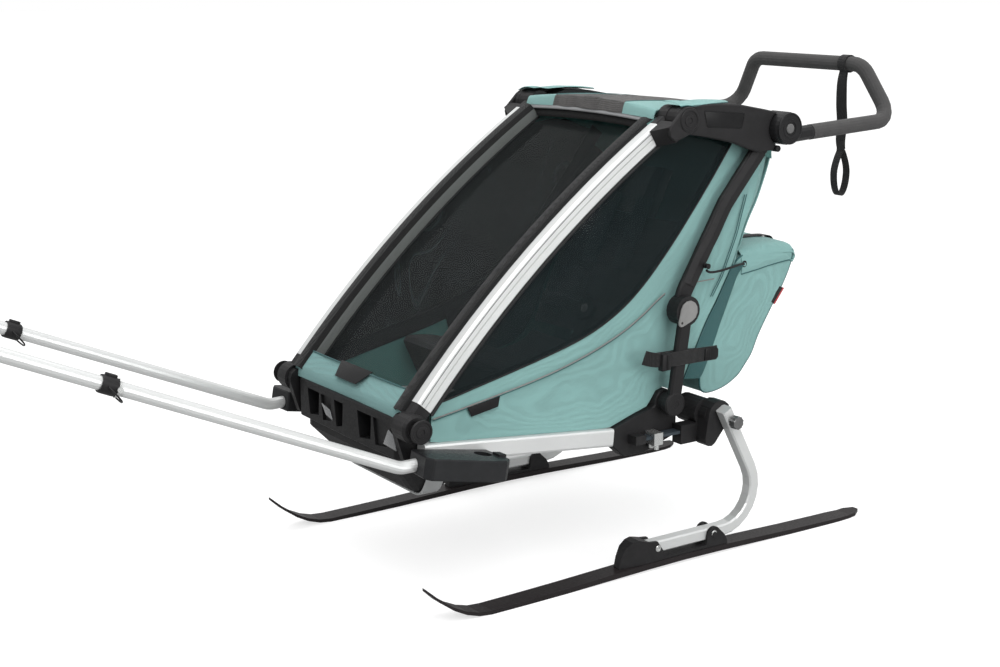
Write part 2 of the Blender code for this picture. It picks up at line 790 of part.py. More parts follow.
def make_handle_buttons(carriers):
    inner = DRUM_OUT - BUTTON_RADIUS * 0.8 + 0.001
    outer = DRUM_OUT + BUTTON_PROUD
    button = turned(
        "handle_button_left",
        [(0, outer), (BUTTON_RADIUS - 0.002, outer), (BUTTON_RADIUS, outer - 0.0015), (BUTTON_RADIUS, inner), (0, inner)],
        HANDLE_PIVOT,
    )
    both_sides(button, "grey_button", carriers)


def make_wrist_strap(carrier):
    bar = Vector(CROSSBAR)
    inner, outer = GRIP_RADIUS + RUN_GAP, GRIP_RADIUS + 0.004
    low, high = STRAP_X - STRAP_WIDTH / 2, STRAP_X + STRAP_WIDTH / 2
    strap = cylinder("wrist_strap", bar, outer, low, high, SMALL_ROUND + 4)
    section = flat_section(STRAP_THICKNESS, STRAP_WIDTH - 0.0006)
    top = bar + Vector((0, -(inner + outer) / 2))
    knot = bar + Vector((0.004, -outer - STRAP_DROP))
    band = swept("strap_band", [top, knot], section, STRAP_X)
    half = STRAP_LOOP / 2
    centre = knot + Vector((0, -half))
    ring = []
    for i in range(14):
        angle = 2 * math.pi * i / 14
        narrow = 0.013 * (1 - 0.35 * math.cos(angle))
        ring.append((centre.x + narrow * math.sin(angle), centre.y + half * math.cos(angle)))
    loop_section = flat_section(STRAP_THICKNESS, STRAP_WIDTH - 0.0012)
    loop = swept("strap_loop", ring, loop_section, STRAP_X, cyclic=True)
    join(strap, band, loop)
    cut(strap, cylinder("strap_bore", bar, inner, low - 0.01, high + 0.01, SMALL_ROUND + 4))
    settled(strap, "webbing", carrier)


# Base


def rail_slope():
    return (RAIL_REAR - RAIL_FRONT).normalized()


def make_rails(carrier):
    section = rounded_section(RAIL_HEIGHT, FRAME_WIDTH, 0.005)
    rail = swept("bottom_rail_left", [RAIL_FRONT, RAIL_REAR], section, FRAME_X)
    both_sides(rail, "silver", (carrier, carrier))


def make_bumper(carrier):
    back = BUMPER_FRONT + BUMPER_DEPTH
    side = BUMPER_HALF
    outline = [(-side, back), (-side, BUMPER_FRONT + 0.020), (-side + 0.022, BUMPER_FRONT + 0.002)]
    outline += [(0, BUMPER_FRONT)]
    outline += [(-x, y) for x, y in reversed(outline[:3])]
    bumper = extruded("front_bumper", outline, BUMPER_BOTTOM, BUMPER_TOP, PLAN_PLANE, bevel=0.004)
    for sign, name in ((1, "left"), (-1, "right")):
        low, high = sorted((sign * (FRAME_IN - 0.015), sign * (FRAME_IN - RUN_GAP)))
        ear = extruded(
            f"bumper_ear_{name}",
            [
                (FRONT_PIVOT.x - 0.002, BUMPER_BOTTOM + 0.004),
                (back - 0.002, BUMPER_BOTTOM + 0.004),
                *arc(FRONT_PIVOT, HUB_RADIUS - 0.005, -20, 200, 8),
            ],
            low,
            high,
        )
        bore_low, bore_high = sorted((sign * (FRAME_IN - 0.012), sign * (FRAME_IN + 0.01)))
        join(bumper, ear)
        cut(bumper, cylinder(f"ear_bore_{name}", FRONT_PIVOT, PIN_RADIUS + FIT_GAP, bore_low, bore_high))
    pockets = ((-0.150, -0.105, 0.025), (-0.095, -0.055, 0.004), (-0.040, -0.008, 0.022))
    pockets += ((0.050, 0.098, 0.025), (0.108, 0.160, 0.004))
    for index, (left, right, depth) in enumerate(pockets):
        top, bottom = BUMPER_TOP - 0.014, BUMPER_BOTTOM + 0.012
        outline = [(left, top), (left + 0.008, bottom), (right, bottom + 0.006), (right + 0.004, top)]
        face = BUMPER_FRONT - 0.01
        pocket = extruded(f"pocket_{index}", outline, -face - 0.01 - depth - 0.002, -face, FRONT_PLANE)
        cut(bumper, pocket)
    settled(bumper, "black_moulding", carrier)


def tub_ring(half, front, rear, level, corner, inset=0.0):
    points = []
    x, low, high = half - inset - corner, front + inset + corner, rear - inset - corner
    for centre, start in (((x, high), 0), ((-x, high), 90), ((-x, low), 180), ((x, low), 270)):
        points += [Vector((*p, level)) for p in arc(centre, corner, start, start + 90, 3)]
    return points


def make_tub(carrier):
    """The footwell: an open tray, narrower at its floor."""
    outer = [
        tub_ring(TUB_HALF_BOTTOM, -0.036, 0.010, TUB_BOTTOM, 0.014),
        tub_ring(TUB_HALF_BOTTOM + 0.0158, -0.042, 0.018, TUB_BOTTOM + 0.0043, 0.020),
        tub_ring(TUB_HALF_BOTTOM + 0.0274, -0.054, 0.036, TUB_BOTTOM + 0.0157, 0.026),
        tub_ring(TUB_HALF_TOP, BUMPER_FRONT + 0.010, 0.150, TUB_TOP, 0.030),
        tub_ring(TUB_HALF_TOP, BUMPER_FRONT + 0.010, 0.150, BUMPER_BOTTOM - FIT_GAP, 0.030),
    ]
    floor = TUB_BOTTOM + TUB_WALL
    inner = [
        tub_ring(TUB_HALF_BOTTOM, -0.036, 0.010, floor, 0.012, TUB_WALL),
        tub_ring(TUB_HALF_BOTTOM + 0.0158, -0.042, 0.018, floor + 0.0030, 0.018, TUB_WALL),
        tub_ring(TUB_HALF_BOTTOM + 0.0274, -0.054, 0.036, floor + 0.0140, 0.024, TUB_WALL),
        tub_ring(TUB_HALF_TOP, BUMPER_FRONT + 0.010, 0.150, TUB_TOP, 0.028, TUB_WALL),
        tub_ring(TUB_HALF_TOP, BUMPER_FRONT + 0.010, 0.150, BUMPER_BOTTOM + 0.02, 0.028, TUB_WALL),
    ]
    tub = loft("footwell_tub", outer)
    cut(tub, loft("tub_hollow", inner))
    settled(tub, "black_moulding", carrier)


def make_hoop(carrier):
    """The flat bar under the footwell."""
    bottom = TUB_BOTTOM - FIT_GAP - HOOP_THICKNESS / 2
    slope = (TUB_HALF_TOP - TUB_HALF_BOTTOM - 0.0274) / (TUB_TOP - TUB_BOTTOM - 0.0157)
    off_wall = (HOOP_THICKNESS / 2 + 3 * FIT_GAP) * math.hypot(1, slope)
    half = TUB_HALF_BOTTOM + 0.0274 - (TUB_BOTTOM + 0.0157 - bottom) * slope + off_wall
    top = TUB_TOP - 0.002
    spread = half + (top - bottom) * slope
    corners = [(spread, top), (half, bottom), (-half, bottom), (-spread, top)]
    section = rounded_section(HOOP_THICKNESS, HOOP_WIDTH, 0.002, 1)
    path = rounded_path(corners, HOOP_CORNER, 5)
    hoop = swept("front_hoop", path, section, 0.036 - HOOP_WIDTH / 2, FRONT_PLANE)
    settled(hoop, "silver", carrier)


def tilt_wing(obj):
    pivot = Vector((0, WING_FRONT, WING_TOP))
    turn = Matrix.Rotation(-WING_TILT, 4, "X")
    obj.data.transform(Matrix.Translation(pivot) @ turn @ Matrix.Translation(-pivot))
    return obj


def make_wings(carrier):
    outline = [
        (WING_IN, WING_FRONT + 0.006),
        (WING_OUTER - 0.030, WING_FRONT),
        (WING_OUTER - 0.014, WING_FRONT + 0.010),
        (WING_OUTER, WING_REAR - 0.045),
        (WING_OUTER - 0.003, WING_REAR - 0.016),
        (WING_OUTER - 0.016, WING_REAR - 0.002),
        (WING_OUTER - 0.030, WING_REAR),
        (WING_IN, WING_REAR - 0.004),
    ]
    wing = extruded("pole_wing_left", outline, WING_TOP - WING_THICKNESS, WING_TOP, PLAN_PLANE)
    tilt_wing(wing)
    soften(wing, 0.004, 1, 50)
    radius = POLE_RADIUS + 2 * FIT_GAP
    bore_profile = [(0, 0.060), (radius, 0.060), (radius, -FIT_GAP), (0, -FIT_GAP)]
    bore = turned("pole_bore", bore_profile, POLE_SEAT, 16, (POLE_BEND - POLE_SEAT).normalized())
    socket = extruded(
        "wheel_socket",
        circle(SOCKET_PLACE, SOCKET_RADIUS, ROUND),
        WING_TOP - SOCKET_DEPTH,
        WING_TOP + 0.01,
        PLAN_PLANE,
    )
    latch_room = block(
        "latch_room",
        (WING_OUTER - 0.056 - FIT_GAP, WING_REAR - 0.014, WING_TOP - 0.016),
        (WING_OUTER - 0.034 + FIT_GAP, WING_REAR + 0.01, WING_TOP + 0.01),
    )
    cut(wing, bore, tilt_wing(socket), tilt_wing(latch_room))
    both_sides(wing, "black_moulding", (carrier, carrier))


def make_wing_latches(carriers):
    low = (WING_OUTER - 0.056, WING_REAR - 0.014 + FIT_GAP, WING_TOP - 0.016 + LATCH_TRAVEL + FIT_GAP)
    high = (WING_OUTER - 0.034, WING_REAR + 0.002, WING_TOP + LATCH_TRAVEL)
    latch = block("wing_latch_left", low, high)
    for i in range(3):
        y = low[1] + 0.003 + 0.0042 * i
        ridge = block(f"latch_groove_{i}", (low[0] - 0.01, y, high[2] - 0.0012), (high[0] + 0.01, y + 0.002, high[2] + 0.01))
        combine(latch, tilt_wing(ridge), "DIFFERENCE")
    tilt_wing(latch)
    both_sides(latch, "black_moulding", carriers)


def make_dropouts(carrier):
    rear = LOWER_PIVOT.x + 0.031
    slope = rail_slope()
    upward = Vector((-slope.y, slope.x)) * (RAIL_HEIGHT / 2)
    start = RAIL_REAR + slope * FIT_GAP
    outline = [
        start + upward,
        start - upward,
        (RAIL_REAR.x + 0.026, RAIL_REAR.y - 0.042),
        (RAIL_REAR.x + 0.078, RAIL_REAR.y - 0.0435),
        (LOWER_PIVOT.x + 0.019, RAIL_REAR.y - 0.0205),
        (rear, RAIL_REAR.y - 0.018),
        (rear, LOWER_PIVOT.y - 0.012),
        *arc(LOWER_PIVOT, LOWER_HUB_RADIUS, 10, 190, 8),
        (LOWER_PIVOT.x - 0.033, LOWER_PIVOT.y - 0.0095),
        (RAIL_REAR.x + 0.053, RAIL_REAR.y + 0.0355),
    ]
    dropout = extruded("rear_dropout_left", outline, FRAME_IN, FRAME_OUT, bevel=0.003)
    boss = cylinder("lower_boss", LOWER_PIVOT, LOWER_HUB_RADIUS - 0.005, FRAME_OUT - 0.004, LINK_IN - RUN_GAP - 0.0002)
    bore = cylinder("lower_bore", LOWER_PIVOT, PIN_RADIUS + FIT_GAP, FRAME_IN + 0.005, LINK_IN + 0.01)
    anchor = block(
        "leaf_anchor",
        (FRAME_OUT - 0.004, LEAF_FRONT - 0.026, LEAF_TOP - LEAF_THICKNESS - 0.006),
        (LEAF_X + LEAF_WIDTH / 2 + 0.001, LEAF_FRONT - RUN_GAP, LEAF_TOP + 0.006),
    )
    join(dropout, boss, anchor)
    cut(dropout, bore)
    both_sides(dropout, "black_moulding", (carrier, carrier))


def make_rear_cross_tube(carrier):
    half = FRAME_IN - FIT_GAP
    place = RAIL_REAR + Vector((0.085, 0.008))
    settled(cylinder("rear_cross_tube", place, 0.011, -half, half, SMALL_ROUND), "silver", carrier)


# Suspension


def make_leaves(carrier):
    low = (LEAF_X - LEAF_WIDTH / 2, LEAF_FRONT, LEAF_TOP - LEAF_THICKNESS)
    leaf = block("leaf_spring_left", low, (LEAF_X + LEAF_WIDTH / 2, LEAF_REAR, LEAF_TOP))
    both_sides(leaf, "composite", (carrier, carrier))


def make_clamps(carriers):
    gap = FIT_GAP + 0.0002
    bottom = LEAF_TOP - LEAF_THICKNESS
    inner = FRAME_OUT + RUN_GAP
    outer = LEAF_X + LEAF_WIDTH / 2 + CLAMP_WALL
    clamp = block(
        "suspension_clamp_left",
        (inner, CLAMP_PLACE, bottom - 0.012),
        (outer, CLAMP_PLACE + CLAMP_LENGTH, LEAF_TOP + CLAMP_WALL),
    )
    hole = block(
        "clamp_hole",
        (LEAF_X - LEAF_WIDTH / 2 - gap, CLAMP_PLACE - 0.01, bottom - gap),
        (LEAF_X + LEAF_WIDTH / 2 + gap, CLAMP_PLACE + CLAMP_LENGTH + 0.01, LEAF_TOP + gap),
    )
    for i, x in enumerate((inner + 0.007, outer - 0.007)):
        screw = extruded(
            f"clamp_screw_{i}",
            circle((x, CLAMP_PLACE + CLAMP_LENGTH / 2), 0.0052, 8),
            bottom - 0.022,
            bottom - 0.010,
            PLAN_PLANE,
        )
        join(clamp, screw)
    cut(clamp, hole)
    both_sides(clamp, "steel", carriers)


def make_axle(carrier):
    reach = TRACK_HALF - ARM_WIDTH / 2 - FIT_GAP
    beam = cylinder("axle_beam", AXLE_CENTRE, AXLE_RADIUS, -reach + 0.01, reach - 0.01, SMALL_ROUND + 4)
    leaf_gap = FIT_GAP
    for sign, name in ((1, "left"), (-1, "right")):

        def span(low, high):
            return sorted((sign * low, sign * high))

        drum_high = LEAF_X + 0.012
        drum = cylinder(f"axle_drum_{name}", AXLE_CENTRE, AXLE_DRUM_RADIUS, *span(drum_high - AXLE_DRUM_LENGTH, drum_high))
        head = AXLE_CENTRE + Vector((0.012, 0.001))
        outline = hull_of_circles(head, AXLE_DRUM_RADIUS, head + Vector((-0.022, -0.048)), 0.015)
        bracket = extruded(f"axle_bracket_{name}", outline, *span(drum_high - 0.002, reach))
        low_x, high_x = span(FRAME_OUT + RUN_GAP, drum_high + 0.002)
        lug = block(
            f"leaf_lug_{name}",
            (low_x, LUG_FRONT, LEAF_TOP - LEAF_THICKNESS - LUG_BELOW),
            (high_x, AXLE_CENTRE.x + 0.016, LEAF_TOP + 0.011),
        )
        slot_low, slot_high = span(LEAF_X - LEAF_WIDTH / 2 - leaf_gap, LEAF_X + LEAF_WIDTH / 2 + leaf_gap)
        slot = block(
            f"leaf_slot_{name}",
            (slot_low, LUG_FRONT - 0.01, LEAF_TOP - LEAF_THICKNESS - leaf_gap),
            (slot_high, LEAF_REAR + 0.002, LEAF_TOP + leaf_gap),
        )
        join(beam, drum, bracket, lug)
        cut(beam, slot)
    settled(beam, "black_moulding", carrier)


# Ski arms and skis


def make_ski_arms(carrier):
    path = rounded_path([ARM_TOP, ARM_HEEL, ARM_TOE], ARM_BEND_RADIUS, 8)
    arm = swept("ski_arm_left", path, rounded_section(ARM_DEPTH, ARM_WIDTH, 0.003, 1), TRACK_HALF)
    both_sides(arm, "silver", (carrier, carrier))


def ski_bottom(y):
    """The sole's height: flat where it bears, sprung up between, and turned up at the tip and tail."""
    if y < 0:
        return SKI_TIP_RISE * (-y / SKI_TIP_REACH) ** 2
    if y > SKI_CONTACT:
        return 0.004 * ((y - SKI_CONTACT) / SKI_TAIL) ** 2
    share = (y - SKI_FLAT) / (SKI_CONTACT - 2 * SKI_FLAT)
    if not 0 < share < 1:
        return 0.0
    return SKI_CAMBER * math.sin(math.pi * share) ** 2


def ski_top(y):
    """The upper face: thick under the arm, thin at the ends."""
    middle = SKI_CONTACT / 2
    share = min(1.0, abs(y - middle) / (middle + SKI_TIP_REACH))
    return ski_bottom(y) + SKI_THICKNESS * (1 - 0.55 * share ** 1.5)


def make_skis(carrier):
    tip = [-SKI_TIP_REACH * (1 - i / 5) for i in range(5)]
    body = [0.0, SKI_FLAT]
    body += [SKI_FLAT + (SKI_CONTACT - 2 * SKI_FLAT) * i / 8 for i in range(1, 8)]
    body += [SKI_CONTACT - SKI_FLAT, SKI_CONTACT, SKI_CONTACT + SKI_TAIL]
    stations = tip + body
    profile = [(y, ski_bottom(y)) for y in stations] + [(y, ski_top(y)) for y in reversed(stations)]
    half = SKI_WIDTH / 2
    ski = extruded("ski_left", profile, TRACK_HALF - half - 0.003, TRACK_HALF + half + 0.003)
    end = SKI_CONTACT + SKI_TAIL
    side = [
        (half * 0.12, -SKI_TIP_REACH - 0.002),
        (half * 0.55, -SKI_TIP_REACH + 0.018),
        (half * 0.90, -SKI_TIP_REACH + 0.062),
        (half, 0.0),
        (half * 0.92, SKI_CONTACT / 2),
        (half, end - 0.070),
        (half * 0.85, end - 0.020),
        (half * 0.30, end + 0.001),
    ]
    outline = [(TRACK_HALF + x, y) for x, y in side] + [(TRACK_HALF - x, y) for x, y in reversed(side)]
    plan = extruded("ski_plan", outline, -0.05, 0.2, PLAN_PLANE)
    combine(ski, plan, "INTERSECT")
    both_sides(ski, "ski_black", (carrier, carrier))


def make_ski_mounts(carrier):
    """The plate, front shoe and rear saddle that hold an arm on its ski."""
    front, rear = ARM_TOE.x - 0.067, SADDLE_PLACE + 0.036
    arm_bottom = ARM_TOE.y - ARM_DEPTH / 2
    bed = arm_bottom - 0.0075
    saddle = (SADDLE_PLACE, ARM_TOE.y - 0.0005)
    steps = 8
    base = [front + (rear - front) * i / steps for i in range(steps + 1)]
    outline = [(y, ski_top(y) + FIT_GAP) for y in base]
    outline += [
        (rear, bed),
        (rear - 0.007, arm_bottom + 0.006),
        *arc(saddle, 0.0165, 35, 180, 6),
        (SADDLE_PLACE - 0.0180, arm_bottom - 0.002),
        (SADDLE_PLACE - 0.0205, bed),
        (ARM_TOE.x + 0.041, bed),
        (ARM_TOE.x + 0.036, arm_bottom + 0.005),
        (ARM_TOE.x + 0.021, arm_bottom + 0.0265),
        (ARM_TOE.x + 0.004, arm_bottom + 0.0285),
        (ARM_TOE.x - 0.022, arm_bottom + 0.0355),
        (ARM_TOE.x - 0.037, arm_bottom + 0.0340),
        (ARM_TOE.x - 0.052, arm_bottom + 0.0250),
        (ARM_TOE.x - 0.062, arm_bottom + 0.0060),
        (front, ski_top(front) + 0.003),
    ]
    half = ARM_WIDTH / 2 + MOUNT_CHEEK
    mount = extruded("ski_mount_left", outline, TRACK_HALF - half, TRACK_HALF + half)
    channel = block(
        "arm_channel",
        (TRACK_HALF - ARM_WIDTH / 2 - FIT_GAP, ARM_TOE.x - FIT_GAP, arm_bottom - FIT_GAP),
        (TRACK_HALF + ARM_WIDTH / 2 + FIT_GAP, rear + 0.1, 0.2),
    )
    bolt = cylinder("saddle_bolt", saddle, 0.006, TRACK_HALF + half - 0.002, TRACK_HALF + half + 0.0025, 8)
    join(mount, bolt)
    cut(mount, channel)
    for side in (-1, 1):
        face = TRACK_HALF + side * (half + 0.001)
        nose = [(face, front - 0.004), (face, front + 0.064), (face - side * 0.0125, front - 0.004)]
        if side < 0:
            nose.reverse()
        cut(mount, extruded(f"nose_chamfer_{side + 1}", nose, 0.0, 0.1, PLAN_PLANE))
    both_sides(mount, "black_moulding", (carrier, carrier))


def knob_place():
    down = (ARM_HEEL - ARM_TOP).normalized()
    return ARM_TOP + down * KNOB_DOWN


def make_knobs(carriers):
    face = TRACK_HALF + ARM_WIDTH / 2 + RUN_GAP
    lobes = 10
    outline = []
    for i in range(2 * lobes):
        angle = math.pi * i / lobes
        radius = KNOB_RADIUS if i % 2 else KNOB_RADIUS - 0.0016
        outline.append((knob_place().x + radius * math.cos(angle), knob_place().y + radius * math.sin(angle)))
    knob = extruded("arm_knob_left", outline, face + 0.003, face + KNOB_DEPTH, bevel=0.0012)
    join(knob, cylinder("knob_collar", knob_place(), 0.008, face, face + 0.005, SMALL_ROUND))
    both_sides(knob, "black_moulding", carriers)


# Poles


def pole_heading():
    return (POLE_JOINT - POLE_BEND).normalized()


def make_poles(carrier):
    heading = pole_heading()
    path = rounded_path([POLE_SEAT, POLE_BEND, POLE_JOINT], 0.045, 4)
    rear = tube("pole_rear_left", path, POLE_RADIUS, 6)
    inside = POLE_RADIUS - POLE_WALL
    bore_profile = [(0, 0.01), (inside, 0.01), (inside, -SPIGOT_LENGTH - 0.002), (0, -SPIGOT_LENGTH - 0.002)]
    bore = turned("pole_rear_bore", bore_profile, POLE_JOINT, 16, heading)
    hole_place = POLE_JOINT - heading * (SPIGOT_LENGTH / 2)
    hole_centre = (hole_place.y, hole_place.z)
    reach = POLE_RADIUS + 0.01
    span = (hole_place.x - reach, hole_place.x + reach)
    cut(rear, bore, cylinder("pin_hole_rear", hole_centre, LOCK_PIN_RADIUS + FIT_GAP, *span, 8))
    both_sides(rear, "silver", (carrier, carrier))
    spigot = POLE_RADIUS - POLE_WALL - FIT_GAP
    plug = POLE_RADIUS - 0.0025
    profile = [(0, POLE_TIP_RUN), (plug, POLE_TIP_RUN), (plug, POLE_TIP_RUN - PLUG_LENGTH)]
    profile += [(POLE_RADIUS, POLE_TIP_RUN - PLUG_LENGTH), (POLE_RADIUS, FIT_GAP), (spigot, FIT_GAP)]
    profile += [(spigot, -SPIGOT_LENGTH), (0, -SPIGOT_LENGTH)]
    front = turned("pole_front_left", profile, POLE_JOINT, 16, heading)
    cut(front, cylinder("pin_hole_front", hole_centre, LOCK_PIN_RADIUS + FIT_GAP, *span, 8))
    both_sides(front, "silver", (carrier, carrier))


def make_lock_pins(carriers):
    """A pin through both tubes, with a wire that hugs the outer half of the tube."""
    place = POLE_JOINT - pole_heading() * (SPIGOT_LENGTH / 2)
    centre = (place.y, place.z)
    head = place.x + POLE_RADIUS + 0.0025
    pin = cylinder("lock_pin_left", centre, LOCK_PIN_RADIUS, place.x - POLE_RADIUS - 0.002, head + 0.001, 8)
    cap = cylinder("pin_head", centre, LOCK_PIN_RADIUS + 0.0022, head, head + 0.004, 8)
    across = Vector((1, 0, 0))
    upward = across.cross(pole_heading()).normalized()
    if upward.z < 0:
        upward = -upward
    ring = POLE_RADIUS + 0.0035
    wire_path = []
    for i in range(11):
        angle = math.radians(-85 + 17 * i)
        wire_path.append(place + across * ring * math.cos(angle) + upward * ring * math.sin(angle))
    join(pin, cap, tube("pin_wire", wire_path, BAIL_WIRE, 1))
    both_sides(pin, "steel", carriers)


# Soft goods


def make_front_cover(carrier):
    """A clear sheet that lies deep between two flanges as high as the uprights."""
    high = bowed(FRONT_PIVOT, TOP_PIVOT, UPRIGHT_BOW, 0.0150, 0.028, 0.036)
    deep = bowed(FRONT_PIVOT, TOP_PIVOT, UPRIGHT_BOW, -0.0070, 0.028, 0.036)
    rows = []
    for crest, floor in zip(high, deep):
        near = [(FLANGE_IN / 2, *floor), (FLANGE_IN, *floor), (FLANGE_IN + 0.004, *crest), (CABIN_HALF, *crest)]
        far = [(-x, y, z) for x, y, z in reversed(near)]
        rows.append([*far, (0, *floor), *near])
    settled(cloth_sheet("front_cover", rows, 0.002), "tinted_window", carrier)


def make_canopy(carrier):
    half = CABIN_HALF
    rear = Vector(BACK_LINE[0])
    front = TOP_PIVOT + Vector((-0.026, 0.0165))
    rows = []
    for i in range(6):
        share = i / 5
        y = front.x + (rear.x - 0.004 - front.x) * share
        z = front.y + (rear.y + 0.010 - front.y) * share ** 2
        row = []
        for j in range(7):
            across = -1 + 2 * j / 6
            row.append((half * across, y, z + 0.013 * (1 - across ** 2)))
        rows.append(row)
    settled(cloth_sheet("canopy", rows), "teal_fabric", carrier)


def make_side_panels(carrier):
    """The fabric and window inside the side frame, up to the back of the cabin."""
    seam = -UPRIGHT_DEPTH / 2 - FIT_GAP
    front = bowed(FRONT_PIVOT, TOP_PIVOT, UPRIGHT_BOW, seam, CASTING_NECK, CASTING_NECK + 0.002)
    slope = rail_slope()
    rail_top = Vector((-slope.y, slope.x)) * (RAIL_HEIGHT / 2 + FIT_GAP)
    rail_start = RAIL_FRONT + slope * 0.018 + rail_top
    rail_end = RAIL_REAR - slope * 0.006 + rail_top
    bottom = [
        rail_start,
        rail_end,
        (RAIL_REAR.x + 0.0525, RAIL_REAR.y + 0.0375),
        (LOWER_PIVOT.x - 0.0345, LOWER_PIVOT.y - 0.0070),
        *arc(LOWER_PIVOT, LOWER_HUB_RADIUS + 0.003, 180, 20, 6),
        (BACK_LINE[-1][0] - 0.0021, BACK_LINE[-1][1]),
    ]
    rear = [(y - 0.0021, z) for y, z in reversed(BACK_LINE[2:-1])]
    top = [
        (HANDLE_PIVOT.x - 0.006, HANDLE_PIVOT.y - 0.044),
        (BRACE_HEAD.x - 0.010, BRACE_HEAD.y + 0.006),
        (BRACE_HEAD.x - 0.055, BRACE_HEAD.y + 0.036),
        (TOP_PIVOT.x + 0.040, TOP_PIVOT.y - 0.020),
    ]
    outline = [*bottom, *rear, *top, *reversed(front)]
    panel = extruded("side_panel_left", outline, FRAME_X - CLOTH / 2, FRAME_X + CLOTH / 2)
    both_sides(panel, "teal_fabric", (carrier, carrier))


def make_back_panel(carrier):
    rows = []
    for index, (y, z) in enumerate(BACK_LINE):
        half = CABIN_HALF if index < 2 else FRAME_X
        rows.append([(x, y, z) for x in (-half, 0, half)])
    settled(cloth_sheet("back_panel", rows), "teal_fabric", carrier)


def make_seat(carrier):
    """One padded sling: base and back, crowned between drawn-in sides."""
    line = [Vector(p) for p in SEAT_LINE]
    sections = []
    last = len(line) - 1
    for i, point in enumerate(line):
        along = (line[min(i + 1, last)] - line[max(i - 1, 0)]).normalized()
        normal = Vector((-along.y, along.x))
        end = 0.45 if i in (0, last) else 1.0
        ring = []
        for across, rise in ((-1, 0.15), (-0.93, 0.75), (-0.5, 1.0), (0, 1.08), (0.5, 1.0), (0.93, 0.75), (1, 0.15)):
            place = point + normal * (SEAT_THICKNESS / 2 * rise * end)
            ring.append((across * SEAT_HALF, place.x, place.y))
        for across, rise in ((1, -0.15), (0.93, -0.7), (0, -0.8), (-0.93, -0.7), (-1, -0.15)):
            place = point + normal * (SEAT_THICKNESS / 2 * rise * end)
            ring.append((across * SEAT_HALF, place.x, place.y))
        sections.append(ring)
    settled(loft("seat", sections), "seat_fabric", carrier)


def make_harness(carrier):
    """Two shoulder straps that meet at the buckle over the crotch strap."""
    line = [Vector(p) for p in SEAT_LINE]
    lifted = []
    for i in range(2, len(line) - 1):
        along = (line[i + 1] - line[i - 1]).normalized()
        lifted.append(line[i] + Vector((-along.y, along.x)) * (SEAT_THICKNESS * 0.54 + 0.0026))
    section = flat_section(0.004, HARNESS_WIDTH)
    left = swept("harness", lifted, section, HARNESS_X)
    right = swept("harness_right_strap", lifted, section, -HARNESS_X)
    first, second = lifted[:2]
    ends = [first.lerp(second, 0.25) + Vector((-0.004, 0.006)), first.lerp(second, 0.75) + Vector((-0.004, 0.006))]
    plate = flat_section(0.014, 2 * HARNESS_X + HARNESS_WIDTH - 0.008)
    join(left, right, swept("harness_buckle", ends, plate))
    settled(left, "webbing", carrier)


def bag_outline(inset, raised):
    """The cargo bag from the side; raised lifts the mouth, for the hollow."""
    rear = [(0.745, 0.368), (0.763, 0.405), (0.831, 0.508), (0.851, 0.552), (0.858, BAG_TOP + raised)]
    front = [(y + BAG_CLEARANCE, z) for y, z in BACK_LINE[4:6]]
    return [
        (0.608 + inset, BAG_BOTTOM + inset),
        (0.664 - inset * 0.5, BAG_BOTTOM + 0.003 + inset),
        (0.705 - inset, 0.326 + inset * 0.6),
        *((y - inset, z) for y, z in rear),
        (BAG_TOP_FRONT + inset, BAG_TOP + raised),
        *((y + inset, z) for y, z in front),
    ]


def make_bag(carrier):
    bag = extruded("cargo_bag", bag_outline(0, 0), -BAG_HALF, BAG_HALF)
    soften(bag, 0.014, 2, 55)
    hollow = extruded("bag_hollow", bag_outline(BAG_WALL, 0.03), -BAG_HALF + BAG_WALL, BAG_HALF - BAG_WALL)
    cut(bag, hollow)
    settled(bag, "teal_fabric", carrier)


def centre_on_origin(root):
    """Moves the root so that the box of the whole trailer is centred along Y."""
    bpy.context.view_layer.update()
    graph = bpy.context.evaluated_depsgraph_get()
    places = []
    for obj in PARTS.objects:
        if obj.type != "MESH":
            continue
        evaluated = obj.evaluated_get(graph)
        places += [(evaluated.matrix_world @ v.co).y for v in evaluated.data.vertices]
    root.location.y = -(min(places) + max(places)) / 2
    bpy.context.view_layer.update()


